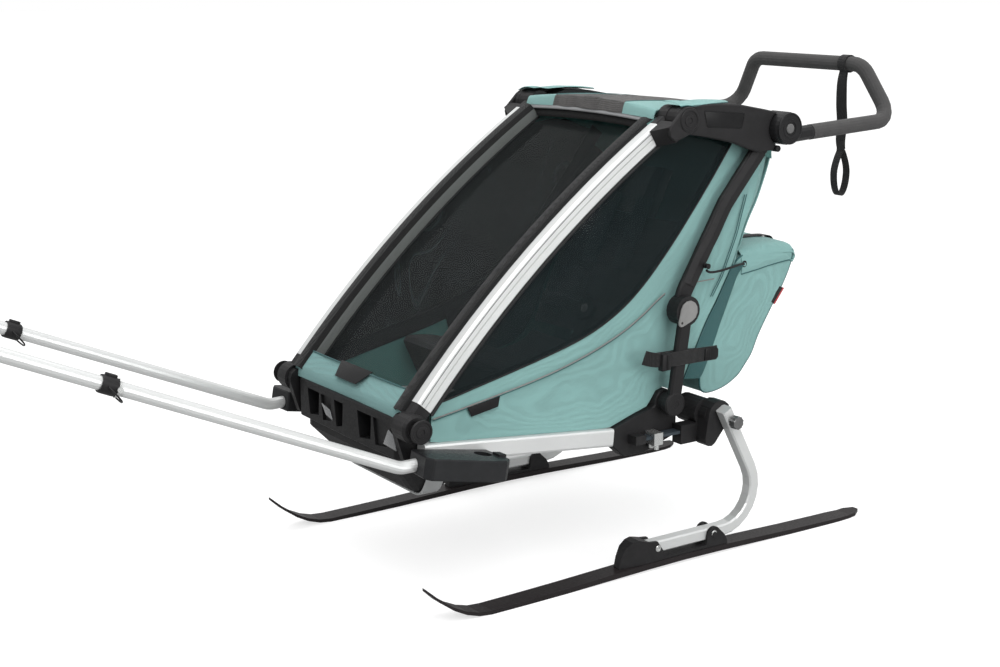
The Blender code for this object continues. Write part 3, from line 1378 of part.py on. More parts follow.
def main():
    root = axis_empty("trailer", (0, 0, 0))
    chassis = axis_empty("chassis", (0, 0, 0), root)
    front_frame = axis_empty("front_pivot_axis", (0, *FRONT_PIVOT), chassis)
    top_frame = axis_empty("top_pivot_axis", (0, *TOP_PIVOT), front_frame)
    lower_links = axis_empty("lower_pivot_axis", (0, *LOWER_PIVOT), chassis)
    handlebar = axis_empty("handle_axis", (0, *HANDLE_PIVOT), top_frame)
    strap = axis_empty("strap_axis", (STRAP_X, *CROSSBAR), handlebar)
    leaf_middle = LEAF_TOP - LEAF_THICKNESS / 2
    axle = axis_empty("suspension_axis", (0, LEAF_FRONT, leaf_middle), chassis)
    pin_place = POLE_JOINT - pole_heading() * (SPIGOT_LENGTH / 2)

    def pair(name, place, parent):
        x, y, z = place
        left = axis_empty(name + "_left_axis", (x, y, z), parent)
        return left, axis_empty(name + "_right_axis", (-x, y, z), parent)

    buttons = pair("handle_button", (DRUM_OUT, *HANDLE_PIVOT), handlebar)
    locks = pair("fold_lock", (LINK_OUT, *KNEE_PIVOT), lower_links)
    latches = pair("wing_latch", (WING_OUTER - 0.045, WING_REAR, WING_TOP), chassis)
    clamps = pair("clamp", (LEAF_X, CLAMP_PLACE, leaf_middle), axle)
    knobs = pair("knob", (TRACK_HALF, *knob_place()), axle)
    pins = pair("lock_pin", pin_place, chassis)

    make_uprights(front_frame)
    make_castings(front_frame)
    make_cross_tube(front_frame)
    make_mouldings(top_frame)
    make_braces(top_frame)
    make_lower_links(lower_links)
    make_fold_locks(locks)
    make_handle_hubs(handlebar)
    make_grip(handlebar)
    make_handle_buttons(buttons)
    make_wrist_strap(strap)
    make_rails(chassis)
    make_bumper(chassis)
    make_tub(chassis)
    make_hoop(chassis)
    make_wings(chassis)
    make_wing_latches(latches)
    make_dropouts(chassis)
    make_rear_cross_tube(chassis)
    make_leaves(axle)
    make_clamps(clamps)
    make_axle(axle)
    make_ski_arms(axle)
    make_skis(axle)
    make_ski_mounts(axle)
    make_knobs(knobs)
    make_poles(chassis)
    make_lock_pins(pins)
    make_front_cover(chassis)
    make_canopy(chassis)
    make_side_panels(chassis)
    make_back_panel(chassis)
    make_seat(chassis)
    make_harness(chassis)
    make_bag(chassis)
    centre_on_origin(root)


clear_scene()
PARTS = new_collection("ski_trailer")
CUTTERS = new_collection("cutters")
main()
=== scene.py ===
import math

import bmesh
import bpy
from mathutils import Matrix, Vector, noise


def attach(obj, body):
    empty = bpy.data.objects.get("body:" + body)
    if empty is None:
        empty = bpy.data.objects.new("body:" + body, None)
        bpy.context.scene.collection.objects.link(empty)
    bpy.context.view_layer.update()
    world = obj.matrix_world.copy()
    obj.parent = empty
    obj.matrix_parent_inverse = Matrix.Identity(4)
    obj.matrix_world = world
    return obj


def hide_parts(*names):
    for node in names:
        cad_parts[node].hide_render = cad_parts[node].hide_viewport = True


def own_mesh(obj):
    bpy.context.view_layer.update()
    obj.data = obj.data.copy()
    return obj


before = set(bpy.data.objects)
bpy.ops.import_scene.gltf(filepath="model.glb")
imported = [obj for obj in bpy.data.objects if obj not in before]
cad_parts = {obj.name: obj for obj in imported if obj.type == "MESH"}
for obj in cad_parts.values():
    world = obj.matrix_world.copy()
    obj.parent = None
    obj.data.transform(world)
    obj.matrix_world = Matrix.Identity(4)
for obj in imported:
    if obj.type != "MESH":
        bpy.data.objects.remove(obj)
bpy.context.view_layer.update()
scene = bpy.context.scene

# The points below are side-view points (Y, Z) measured from the solved camera.
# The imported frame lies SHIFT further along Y.
SHIFT = 0.17935
REAR_EDGE = [(0.5240, 0.3306), (0.5387, 0.3556), (0.5599, 0.3983), (0.5907, 0.4583), (0.6168, 0.4978),
             (0.6376, 0.5337), (0.6585, 0.5697)]
REAR_EDGE += [(0.6839, 0.6350), (0.6963, 0.6695), (0.7142, 0.7055), (0.7225, 0.7487), (0.7360, 0.7980)]
A = Vector((-0.110, 0.350))
B = Vector((0.490, 0.870))
H = Vector((0.742, 0.842))
LOW = Vector((0.479, 0.310))
SIDES = (("left", 1), ("right", -1))
BACK = [Vector(p) for p in ((0.768, 0.852), (0.770, 0.790), (0.738, 0.700), (0.703, 0.632), (0.660, 0.505),
                            (0.602, 0.400), (0.556, 0.318))]
FRAME_IN = 0.2105
FRAME_OUT = 0.2365
CHEEK_OUT = 0.2681
FORK_FACE = 0.2762
DRUM_FACE = 0.2901
LINK_FACE = 0.2681
BRACE_FACE = 0.2533
WING_FACE = 0.305
MOUNT_FACE = 0.325
POLE_LINE = ((0.236, -0.675, 0.5155), (0.258, -0.150, 0.2885))
POLE_BAND = 0.012
CABIN_HALF = 0.2102
CANOPY_CROWN = 0.013
CANOPY_MESH_HALF = 0.1145
HARNESS_HALF = 0.052
STRAP_X = 0.120


# Materials


class Finish:
    """A node material with mottled colour, uneven roughness and a chain of bumps, all in the object's own metres."""

    def __init__(self, name, colour, rough, metal=0.0, mottle=0.06, mottle_scale=14.0, rough_spread=0.06, **sockets):
        self.material = bpy.data.materials.new(name)
        self.material.use_nodes = True
        self.tree = self.material.node_tree
        self.tree.nodes.clear()
        self.out = self.add("OutputMaterial")
        self.shader = self.add("BsdfPrincipled", Metallic=metal, **sockets)
        self.tree.links.new(self.shader.outputs[0], self.out.inputs[0])
        self.place = self.add("TexCoord").outputs["Object"]
        self.normal = None
        cloud = self.noise(mottle_scale, 4.0)
        dark = [c * (1 - mottle) for c in colour]
        light = [min(1.0, c * (1 + mottle)) for c in colour]
        self.colour = self.ramp(cloud, [(0.3, dark), (0.7, light)])
        self.link(self.colour, "Base Color")
        fine = self.noise(220.0, 2.0)
        self.rough = self.spread(fine, max(0.02, rough - rough_spread), min(1.0, rough + rough_spread))
        self.link(self.rough, "Roughness")

    def add(self, kind, **values):
        node = self.tree.nodes.new("ShaderNode" + kind)
        for key, value in values.items():
            node.inputs[key.replace("_", " ")].default_value = value
        return node

    def link(self, output, socket):
        self.tree.links.new(output, self.shader.inputs[socket])

    def stretched(self, scale):
        mapping = self.add("Mapping", Scale=scale)
        self.tree.links.new(self.place, mapping.inputs["Vector"])
        return mapping.outputs[0]

    def noise(self, scale, detail=3.0, place=None, distortion=0.0):
        node = self.add("TexNoise", Scale=scale, Detail=detail, Distortion=distortion)
        self.tree.links.new(place or self.place, node.inputs["Vector"])
        return node.outputs["Fac"]

    def voronoi(self, scale, place=None, feature="F1"):
        node = self.add("TexVoronoi", Scale=scale)
        node.feature = feature
        self.tree.links.new(place or self.place, node.inputs["Vector"])
        return node.outputs["Distance"]

    def spread(self, value, low, high, start=0.3, end=0.7):
        node = self.add("MapRange", From_Min=start, From_Max=end, To_Min=low, To_Max=high)
        self.tree.links.new(value, node.inputs["Value"])
        return node.outputs["Result"]

    def ramp(self, value, stops):
        node = self.tree.nodes.new("ShaderNodeValToRGB")
        self.tree.links.new(value, node.inputs["Fac"])
        elements = node.color_ramp.elements
        while len(elements) < len(stops):
            elements.new(0.5)
        for element, (position, colour) in zip(elements, stops):
            element.position = position
            element.color = (*colour, 1.0)
        return node.outputs["Color"]

    def math(self, operation, first, second=None):
        node = self.tree.nodes.new("ShaderNodeMath")
        node.operation = operation
        for index, value in enumerate((first, second)):
            if value is None:
                continue
            if isinstance(value, (int, float)):
                node.inputs[index].default_value = value
            else:
                self.tree.links.new(value, node.inputs[index])
        return node.outputs[0]

    def mix(self, factor, first, second, blend="MIX"):
        node = self.tree.nodes.new("ShaderNodeMix")
        node.data_type = "RGBA"
        node.blend_type = blend
        for index, value in ((0, factor), (6, first), (7, second)):
            if isinstance(value, (int, float)):
                node.inputs[index].default_value = value
            elif isinstance(value, (tuple, list)):
                node.inputs[index].default_value = (*value, 1.0)
            else:
                self.tree.links.new(value, node.inputs[index])
        return node.outputs[2]

    def tint(self, factor, colour, blend="MIX"):
        self.colour = self.mix(factor, self.colour, colour, blend)
        self.link(self.colour, "Base Color")
        return self

    def bump(self, height, distance, strength=1.0):
        node = self.add("Bump", Strength=strength, Distance=distance)
        self.tree.links.new(height, node.inputs["Height"])
        if self.normal:
            self.tree.links.new(self.normal, node.inputs["Normal"])
        self.normal = node.outputs[0]
        self.link(self.normal, "Normal")
        return self

    def weave(self, pitch, distance, hollow_shade=0.0):
        """Over and under threads of the given pitch, whichever way the surface faces."""
        split = self.tree.nodes.new("ShaderNodeSeparateXYZ")
        self.tree.links.new(self.place, split.inputs[0])
        waves = [self.math("SINE", self.math("MULTIPLY", axis, 2 * math.pi / pitch)) for axis in split.outputs]
        pairs = [self.math("MULTIPLY", waves[a], waves[b]) for a, b in ((0, 1), (1, 2), (2, 0))]
        height = self.math("ADD", self.math("ADD", pairs[0], pairs[1]), pairs[2])
        # Painted shade: the hollows between the threads are darkened in the base colour.
        if hollow_shade:
            self.tint(self.spread(height, 0.0, hollow_shade, 0.4, -1.0), (0.0, 0.0, 0.0))
        return self.bump(height, distance)

    def worn(self, colour, amount):
        """Rubbed edges and faint dust where the surface is rough."""
        edge = self.tree.nodes.new("ShaderNodeNewGeometry").outputs["Pointiness"]
        rub = self.math("MULTIPLY", self.spread(edge, 0.0, 1.0, 0.53, 0.62),
                        self.spread(self.noise(60.0, 4.0), 0.0, amount))
        return self.tint(rub, colour)


def silver(name, colour, rough, metal):
    out = Finish(name, colour, rough, metal, mottle=0.03, mottle_scale=9.0, Specular_IOR_Level=0.35)
    out.bump(out.noise(900.0, 2.0), 0.00006, 0.5)
    out.bump(out.noise(1.0, 3.0, out.stretched((700.0, 60.0, 60.0))), 0.00005, 0.4)
    return out.worn((0.55, 0.56, 0.57), 0.25)


def moulded(name, colour, rough, grain=0.00010, worn=0.20, shine=0.16, **sockets):
    out = Finish(name, colour, rough, mottle=0.10, mottle_scale=20.0, Specular_IOR_Level=shine, **sockets)
    out.bump(out.voronoi(1300.0), grain, 0.6)
    out.bump(out.noise(35.0, 3.0), 0.0004, 0.25)
    if worn:
        out.worn([min(1.0, c * 2.2 + 0.02) for c in colour], worn)
    return out


def woven(name, colour, rough=0.82, pitch=0.0016, depth=0.00022, folds=0.0012, shade=0.18, sheen=0.25, mottle=0.05):
    out = Finish(name, colour, rough, mottle=mottle, mottle_scale=7.0, Sheen_Weight=sheen * 0.5, Sheen_Roughness=0.45,
                 Specular_IOR_Level=0.2)
    out.bump(out.noise(9.0, 3.0, distortion=0.6), folds, 0.6)
    out.bump(out.noise(55.0, 3.0), 0.0004, 0.4)
    return out.weave(pitch, depth, shade)


SILVER = silver("anodised_silver", (0.58, 0.59, 0.585), 0.36, 0.45)
SILVER_DULL = silver("cast_silver", (0.40, 0.41, 0.41), 0.48, 0.5)
STEEL = silver("bright_steel", (0.55, 0.56, 0.55), 0.26, 0.9)
DARK_STEEL = silver("dark_steel", (0.13, 0.13, 0.13), 0.38, 0.8)
BLACK = moulded("black_moulding", (0.0125, 0.0122, 0.0128), 0.46)
BLACK_FINE = moulded("smooth_black", (0.0075, 0.0075, 0.0080), 0.34, 0.00004, 0.15)
BLACK_DRUM = moulded("drum_black", (0.0120, 0.0120, 0.0128), 0.40)
BLACK_WING = moulded("wing_black", (0.0120, 0.0125, 0.0135), 0.40, 0.00012)
BLACK_BUMPER = moulded("bumper_black", (0.0075, 0.0075, 0.0080), 0.48, 0.00012)
GREY = moulded("grey_plastic", (0.175, 0.175, 0.172), 0.42, 0.00008, 0.2)
GREY_BUTTON = moulded("button_grey", (0.105, 0.105, 0.105), 0.40, 0.00008, 0.2)
GREY_PANEL = moulded("dark_grey_panel", (0.060, 0.064, 0.066), 0.42, 0.00006, 0.1)
RUBBER = moulded("soft_black", (0.0125, 0.0125, 0.0130), 0.70, 0.0001, 0.0, 0.25)
SKI = moulded("ski_laminate", (0.0150, 0.0125, 0.0130), 0.40, 0.00002, 0.10)
SKI.bump(SKI.noise(1.0, 2.0, SKI.stretched((600.0, 14.0, 300.0))), 0.00003, 0.4)
LEAF = moulded("leaf_composite", (0.0270, 0.0350, 0.0420), 0.42, 0.00006, 0.2)
LEAF.bump(LEAF.noise(1.0, 2.0, LEAF.stretched((1500.0, 40.0, 40.0))), 0.0001, 0.6)
RED = Finish("red_tab", (0.48, 0.015, 0.022), 0.55, mottle=0.1, Sheen_Weight=0.2)
RED.weave(0.0014, 0.0002, 0.2)
TEAL = woven("teal_fabric", (0.200, 0.365, 0.350), pitch=0.0013, depth=0.00013, folds=0.0007, shade=0.10)
TEAL_FOOT = woven("teal_foot", (0.155, 0.290, 0.285), pitch=0.0013, depth=0.00013, folds=0.0006, shade=0.10)
TEAL_DARK = woven("teal_gusset", (0.034, 0.110, 0.112), pitch=0.0013, depth=0.00016, folds=0.0008)
# Painted shade: a darker copy of the teal fabric for the cabin's inner sides and the canopy's sides.
SHADED_TEAL = woven("teal_painted_shade", (0.085, 0.205, 0.190), pitch=0.0013, depth=0.00012, folds=0.0012)
GREY_TAPE = woven("grey_band", (0.125, 0.135, 0.130), pitch=0.0018, depth=0.00020, folds=0.0004)
HEM_GREY = woven("hem_grey", (0.20, 0.205, 0.21), rough=0.5, pitch=0.0016, depth=0.0001, folds=0.0003)
THREAD = woven("seam_thread", (0.30, 0.27, 0.26), pitch=0.0030, depth=0.0003, folds=0.0, shade=0.4)
WEB = woven("black_webbing", (0.0115, 0.0115, 0.0120), rough=0.7, pitch=0.0024, depth=0.0003, folds=0.0003, shade=0.3,
            sheen=0.2)
SEAT = woven("seat_weave", (0.0150, 0.0170, 0.0200), pitch=0.0022, depth=0.0003, folds=0.0016, shade=0.25, sheen=0.3)
SEAT_FRONT = woven("seat_front", (0.0050, 0.0070, 0.0090), pitch=0.0022, depth=0.0003, folds=0.0016, shade=0.25)
SEAT_SIDE = woven("seat_side", (0.0120, 0.0260, 0.0300), pitch=0.0018, depth=0.0003, folds=0.0016, shade=0.25,
                  sheen=0.3)
FOAM = Finish("foam_grip", (0.048, 0.047, 0.047), 0.86, mottle=0.08, mottle_scale=40.0, Sheen_Weight=0.08,
              Specular_IOR_Level=0.25)
FOAM.bump(FOAM.voronoi(900.0), 0.00025, 0.6).bump(FOAM.noise(120.0, 3.0), 0.0004, 0.5)


def netting():
    out = Finish("canopy_mesh", (0.058, 0.053, 0.050), 0.80, mottle=0.12, mottle_scale=18.0, Sheen_Weight=0.2)
    long_waves = out.noise(1.0, 4.0, out.stretched((26.0, 5.0, 26.0)), 1.2)
    out.bump(long_waves, 0.006, 0.9)
    # Painted shade: the net's colour is darkened in the hollows of its long folds.
    out.tint(out.spread(long_waves, 0.0, 0.55, 0.55, 0.36), (0.012, 0.011, 0.011))
    return out.weave(0.0026, 0.0006, 0.55)


def headrest_net():
    out = Finish("headrest_mesh", (0.085, 0.090, 0.090), 0.7, mottle=0.08, Sheen_Weight=0.2)
    holes = out.voronoi(210.0)
    out.tint(out.spread(holes, 0.85, 0.0, 0.25, 0.5), (0.006, 0.006, 0.006))
    return out.bump(holes, -0.0012, 0.8)


def film(name, colour, alpha, crease, wrinkle=0.0, shine=(0.10, 0.115, 0.12), gloss=0.15):
    """Tinted clear film, dark and glossy, with slow waves; wrinkle paints pale and dark lines into its colour,
    painted reflections of a crinkled sheet.
    """
    out = Finish(name, colour, 0.10, mottle=0.10, mottle_scale=3.0, rough_spread=0.0, Alpha=alpha,
                 Specular_IOR_Level=gloss)
    out.bump(out.noise(5.0, 0.0, distortion=0.4), crease, 0.8)
    if wrinkle:
        # Painted reflections: pale lines in the shine colour and dark lines, tinted into the base colour in patches.
        lines = out.math("SINE", out.math("MULTIPLY", out.noise(5.2, 0.0, out.stretched((1.0, 1.25, 0.8)), 0.9),
                                          34.0))
        patch = out.spread(out.noise(3.4, 0.0), 0.10, wrinkle, 0.36, 0.56)
        out.tint(out.math("MULTIPLY", out.spread(lines, 0.0, 1.0, 0.72, 0.98), patch), shine)
        out.tint(out.math("MULTIPLY", out.spread(lines, 0.0, 1.0, -0.55, -0.95), patch), (0.003, 0.004, 0.004))
    return out


WINDOW = film("tinted_window", (0.0070, 0.0125, 0.0135), 0.58, 0.0016)
# The far window carries the painted reflection lines.
FAR_WINDOW = film("crinkled_window_painted_reflections", (0.0110, 0.0135, 0.0140), 0.93, 0.0030, 0.75, (0.030, 0.040, 0.042))
COVER = film("front_film", (0.03, 0.036, 0.036), 0.12, 0.0012)


def reflector(name, colour):
    out = Finish(name, colour, 0.16, mottle=0.08, mottle_scale=60.0, Coat_Weight=0.6, Coat_Roughness=0.08)
    cells = out.voronoi(420.0, None, "DISTANCE_TO_EDGE")
    out.tint(out.spread(cells, 0.5, 0.0, 0.0, 0.12), [c * 0.35 for c in colour])
    return out.bump(cells, 0.0008, 0.8)


REFLECT = reflector("grey_reflector", (0.14, 0.145, 0.15))


# Shapes: each is a list of vertices and a list of faces


def side_point(p, x):
    return Vector((x, p[0], p[1]))


def at(line, x):
    """The side-view points of a line, set at x."""
    return [side_point(p, x) for p in line]


def spaced(start, width, steps):
    return [start + width * k / steps for k in range(steps + 1)]


def bowed(offset=0.0, trim_start=0.0, trim_end=0.0, steps=24):
    """The upright's shallow arc in the side view, shifted by offset towards the front."""
    chord = B - A
    along = chord.normalized()
    left = Vector((-along.y, along.x))
    bow = 0.033
    radius = chord.length ** 2 / (8 * bow) + bow / 2
    half = math.asin(chord.length / 2 / radius)
    centre = (A + B) / 2 - left * (radius - bow)
    first = -half + trim_start / radius
    last = half - trim_end / radius
    points = []
    for i in range(steps + 1):
        angle = first + (last - first) * i / steps
        points.append(centre + (left * math.cos(angle) + along * math.sin(angle)) * (radius + offset))
    return points


def resampled(points, count):
    """A smooth line through the points, cut into count equal steps."""
    points = [Vector(p) for p in points]
    fine = []
    last = len(points) - 1
    for i in range(last):
        p0, p1, p2, p3 = points[max(i - 1, 0)], points[i], points[i + 1], points[min(i + 2, last)]
        for k in range(12):
            t = k / 12
            fine.append(0.5 * (2 * p1 + (p2 - p0) * t + (2 * p0 - 5 * p1 + 4 * p2 - p3) * t * t
                               + (3 * p1 - p0 - 3 * p2 + p3) * t ** 3))
    fine.append(points[-1])
    return even(fine, count)


def even(line, count):
    line = [Vector(p) for p in line]
    lengths = [0.0]
    for a, b in zip(line, line[1:]):
        lengths.append(lengths[-1] + (b - a).length)
    out = []
    k = 0
    for i in range(count + 1):
        goal = lengths[-1] * i / count
        while k < len(line) - 2 and lengths[k + 1] < goal:
            k += 1
        span = lengths[k + 1] - lengths[k]
        out.append(line[k].lerp(line[k + 1], (goal - lengths[k]) / span if span > 1e-9 else 0.0))
    return out


def merged(*shapes):
    verts, faces = [], []
    for v, f in shapes:
        base = len(verts)
        verts += v
        faces += [tuple(i + base for i in face) for face in f]
    return verts, faces


def mirrored(shape):
    verts, faces = shape
    return [Vector((-v[0], v[1], v[2])) for v in verts], [tuple(reversed(f)) for f in faces]


def walls(count, m, closed=False):
    """The faces between count rings of m points, and the two ends unless the rings close on themselves."""
    faces = []
    for i in range(count if closed else count - 1):
        j = (i + 1) % count
        faces += [(i * m + k, i * m + (k + 1) % m, j * m + (k + 1) % m, j * m + k) for k in range(m)]
    if not closed:
        faces += [tuple(reversed(range(m))), tuple(range((count - 1) * m, count * m))]
    return faces


def sweep(path, section, across=(1, 0, 0), closed=False):
    path = [Vector(p) for p in path]
    count = len(path)
    verts = []
    for i, p in enumerate(path):
        before = path[i - 1] if (i or closed) else p
        after = path[(i + 1) % count] if (i < count - 1 or closed) else p
        along = (after - before).normalized()
        aside = Vector(across(i)) if callable(across) else Vector(across)
        aside = (aside - along * aside.dot(along)).normalized()
        up = aside.cross(along)
        shape = section(i / (count - 1)) if callable(section) else section
        verts += [p + aside * a + up * b for a, b in shape]
    return verts, walls(count, len(verts) // count, closed)


def flat(width, thick, round_by=0.35):
    w, t = width / 2, thick / 2
    c = min(w, t) * 2 * round_by
    return [(w, -t + c), (w, t - c), (w - c, t), (c - w, t), (-w, t - c), (-w, c - t), (c - w, -t), (w - c, -t)]


def ring(radius, sides=12):
    turns = [2 * math.pi * k / sides for k in range(sides)]
    return [(radius * math.cos(t), radius * math.sin(t)) for t in turns]


def rectangle(a, b):
    return [(-a, -b), (a, -b), (a, b), (-a, b)]


def tube(path, radius, sides=10, across=(1, 0, 0), closed=False):
    return sweep(path, ring(radius, sides), across, closed)


def lathe(profile, origin, heading=(1, 0, 0), sides=40):
    """Turned about heading through origin; the profile is (radius, height) from one end to the other."""
    heading = Vector(heading).normalized()
    origin = Vector(origin)
    guide = Vector((0, 0, 1)) if abs(heading.z) < 0.9 else Vector((0, 1, 0))
    u = heading.cross(guide).normalized()
    v = heading.cross(u)
    verts = []
    for radius, height in profile:
        r = max(radius, 1e-5)
        turns = (2 * math.pi * k / sides for k in range(sides))
        verts += [origin + heading * height + (u * math.cos(t) + v * math.sin(t)) * r for t in turns]
    return verts, walls(len(profile), sides)


def prism(outline, low, high, origin=(0, 0, 0), u=(0, 1, 0), v=(0, 0, 1), heading=(1, 0, 0)):
    """An outline in the plane of u and v, given thickness along heading."""
    origin, u, v, heading = Vector(origin), Vector(u), Vector(v), Vector(heading)
    n = len(outline)
    verts = [origin + u * a + v * b + heading * h for h in (low, high) for a, b in outline]
    faces = [tuple(reversed(range(n))), tuple(range(n, 2 * n))]
    faces += [(k, (k + 1) % n, n + (k + 1) % n, n + k) for k in range(n)]
    return verts, faces


def shell(rows, thickness, displace=None):
    """A closed thin sheet over a grid of points, pushed along its own normal by displace(u, v, point)."""
    rows = [[Vector(p) for p in row] for row in rows]
    n, m = len(rows), len(rows[0])
    normals = []
    for i in range(n):
        line = []
        for j in range(m):
            du = rows[min(i + 1, n - 1)][j] - rows[max(i - 1, 0)][j]
            dv = rows[i][min(j + 1, m - 1)] - rows[i][max(j - 1, 0)]
            normal = du.cross(dv)
            line.append(normal.normalized() if normal.length > 1e-12 else Vector((1, 0, 0)))
        normals.append(line)
    if displace:
        rows = [[rows[i][j] + normals[i][j] * displace(i / (n - 1), j / (m - 1), rows[i][j]) for j in range(m)]
                for i in range(n)]
    verts = [rows[i][j] + normals[i][j] * s * thickness / 2 for s in (1, -1) for i in range(n) for j in range(m)]
    faces = []
    back = n * m
    for i in range(n - 1):
        for j in range(m - 1):
            a, b, c, d = i * m + j, i * m + j + 1, (i + 1) * m + j + 1, (i + 1) * m + j
            faces += [(a, b, c, d), (back + d, back + c, back + b, back + a)]
    rim = [(0, j) for j in range(m)] + [(i, m - 1) for i in range(1, n)] + [(n - 1, j) for j in range(m - 2, -1, -1)]
    rim += [(i, 0) for i in range(n - 2, 0, -1)]
    for k, (i, j) in enumerate(rim):
        i2, j2 = rim[(k + 1) % len(rim)]
        faces.append((i * m + j, back + i * m + j, back + i2 * m + j2, i2 * m + j2))
    return verts, faces


def ruled(low, high, steps):
    """Rows from the line low to the line high, both with the same number of points."""
    return [[a.lerp(b, k / steps) for a, b in zip(low, high)] for k in range(steps + 1)]


def wrinkle(point, scale, amount):
    return amount * noise.noise(Vector(point) * scale)


def creased(scale, amount):
    return lambda u, v, p: wrinkle(p, scale, amount)


def soft_step(value, low, high):
    t = min(1.0, max(0.0, (value - low) / (high - low)))
    return t * t * (3 - 2 * t)


def applied(obj):
    """Keeps what the modifiers make as the object's own mesh."""
    bpy.context.view_layer.update()
    obj.data = bpy.data.meshes.new_from_object(obj.evaluated_get(bpy.context.evaluated_depsgraph_get()))
    obj.modifiers.clear()


def piece(name, shape, finish, body, slot, bevel=0.0, segments=2, smooth=0, sharp=38, zones=None):
    """Makes the object; zones gives each face's index among several finishes from its centre."""
    verts, faces = shape
    mesh = bpy.data.meshes.new(name)
    mesh.from_pydata([(v[0], v[1] + SHIFT, v[2]) for v in verts], [], faces)
    work = bmesh.new()
    work.from_mesh(mesh)
    bmesh.ops.remove_doubles(work, verts=work.verts, dist=1e-6)
    bmesh.ops.recalc_face_normals(work, faces=work.faces)
    work.to_mesh(mesh)
    work.free()
    obj = bpy.data.objects.new(name, mesh)
    scene.collection.objects.link(obj)
    finishes = finish if isinstance(finish, (list, tuple)) else [finish]
    for item in finishes:
        mesh.materials.append(item.material)
    if zones:
        for polygon in mesh.polygons:
            centre = polygon.center
            polygon.material_index = zones(Vector((centre.x, centre.y - SHIFT, centre.z)))
    if bevel:
        modifier = obj.modifiers.new("edges", "BEVEL")
        modifier.width = bevel
        modifier.segments = segments
        modifier.limit_method = "ANGLE"
        modifier.angle_limit = math.radians(32)
    if smooth:
        modifier = obj.modifiers.new("rounded", "SUBSURF")
        modifier.levels = modifier.render_levels = smooth
    if obj.modifiers:
        applied(obj)
    obj.data.shade_smooth()
    obj.data.set_sharp_from_angle(angle=math.radians(sharp))
    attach(obj, body)
    return obj


def soft(name, shape, finish, slot, keep=0.3, low=0.30, **options):
    """A fabric piece on the chassis."""
    obj = piece(name, shape, finish, "chassis", slot, **options)
    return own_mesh(obj)


def firm(name, shape, finish, slot, **options):
    """A soft piece on the chassis, made the same way as soft."""
    return soft(name, shape, finish, slot, keep=0.999, **options)


def both_sides(shape):
    return ("left", shape), ("right", mirrored(shape))


def pair(name, shape, finish, body, slot, **options):
    return [piece(f"{name}_{word}", form, finish, body.format(word), slot, **options)
            for word, form in both_sides(shape)]


def soft_pair(name, shape, finish, slot, **options):
    return [soft(f"{name}_{word}", form, finish, slot, **options) for word, form in both_sides(shape)]


def dress(finish, *names):
    """A better material on CAD nodes whose shape is right."""
    for name in names:
        for node in ([f"{name}_left", f"{name}_right"] if f"{name}_left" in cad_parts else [name]):
            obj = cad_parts[node]
            if not obj.material_slots:
                obj.data.materials.append(finish.material)
            for place in obj.material_slots:
                place.material = finish.material


# CAD nodes that stay

dress(SILVER, "bottom_rail", "front_upright", "pole_rear", "pole_front", "ski_arm", "rear_cross_tube")
dress(SILVER_DULL, "front_hoop", "front_cross_tube")
dress(BLACK, "rear_dropout", "ski_mount", "lower_casting", "upper_casting", "side_moulding", "rear_brace")
dress(BLACK, "lower_link", "axle_beam")
dress(BLACK_WING, "pole_wing")
dress(BLACK_BUMPER, "front_bumper")
dress(BLACK_DRUM, "handle_hub", "wing_latch")
dress(RUBBER, "footwell_tub")
dress(DARK_STEEL, "arm_knob")
dress(GREY, "fold_lock")
dress(GREY_BUTTON, "handle_button")
dress(FOAM, "handlebar_grip")
dress(SKI, "ski")
dress(STEEL, "suspension_clamp", "lock_pin")
dress(LEAF, "leaf_spring")


# Side panels: a tinted window over a teal panel


def window_edge(count):
    line = [(-0.060, 0.3845), (-0.031, 0.388), (0.045, 0.405), (0.130, 0.424), (0.209, 0.443), (0.275, 0.462),
            (0.331, 0.485), (0.385, 0.517)]
    line += [(0.433, 0.557), (0.480, 0.606), (0.525, 0.658), (0.592, 0.742), (0.647, 0.816)]
    return resampled(line, count)


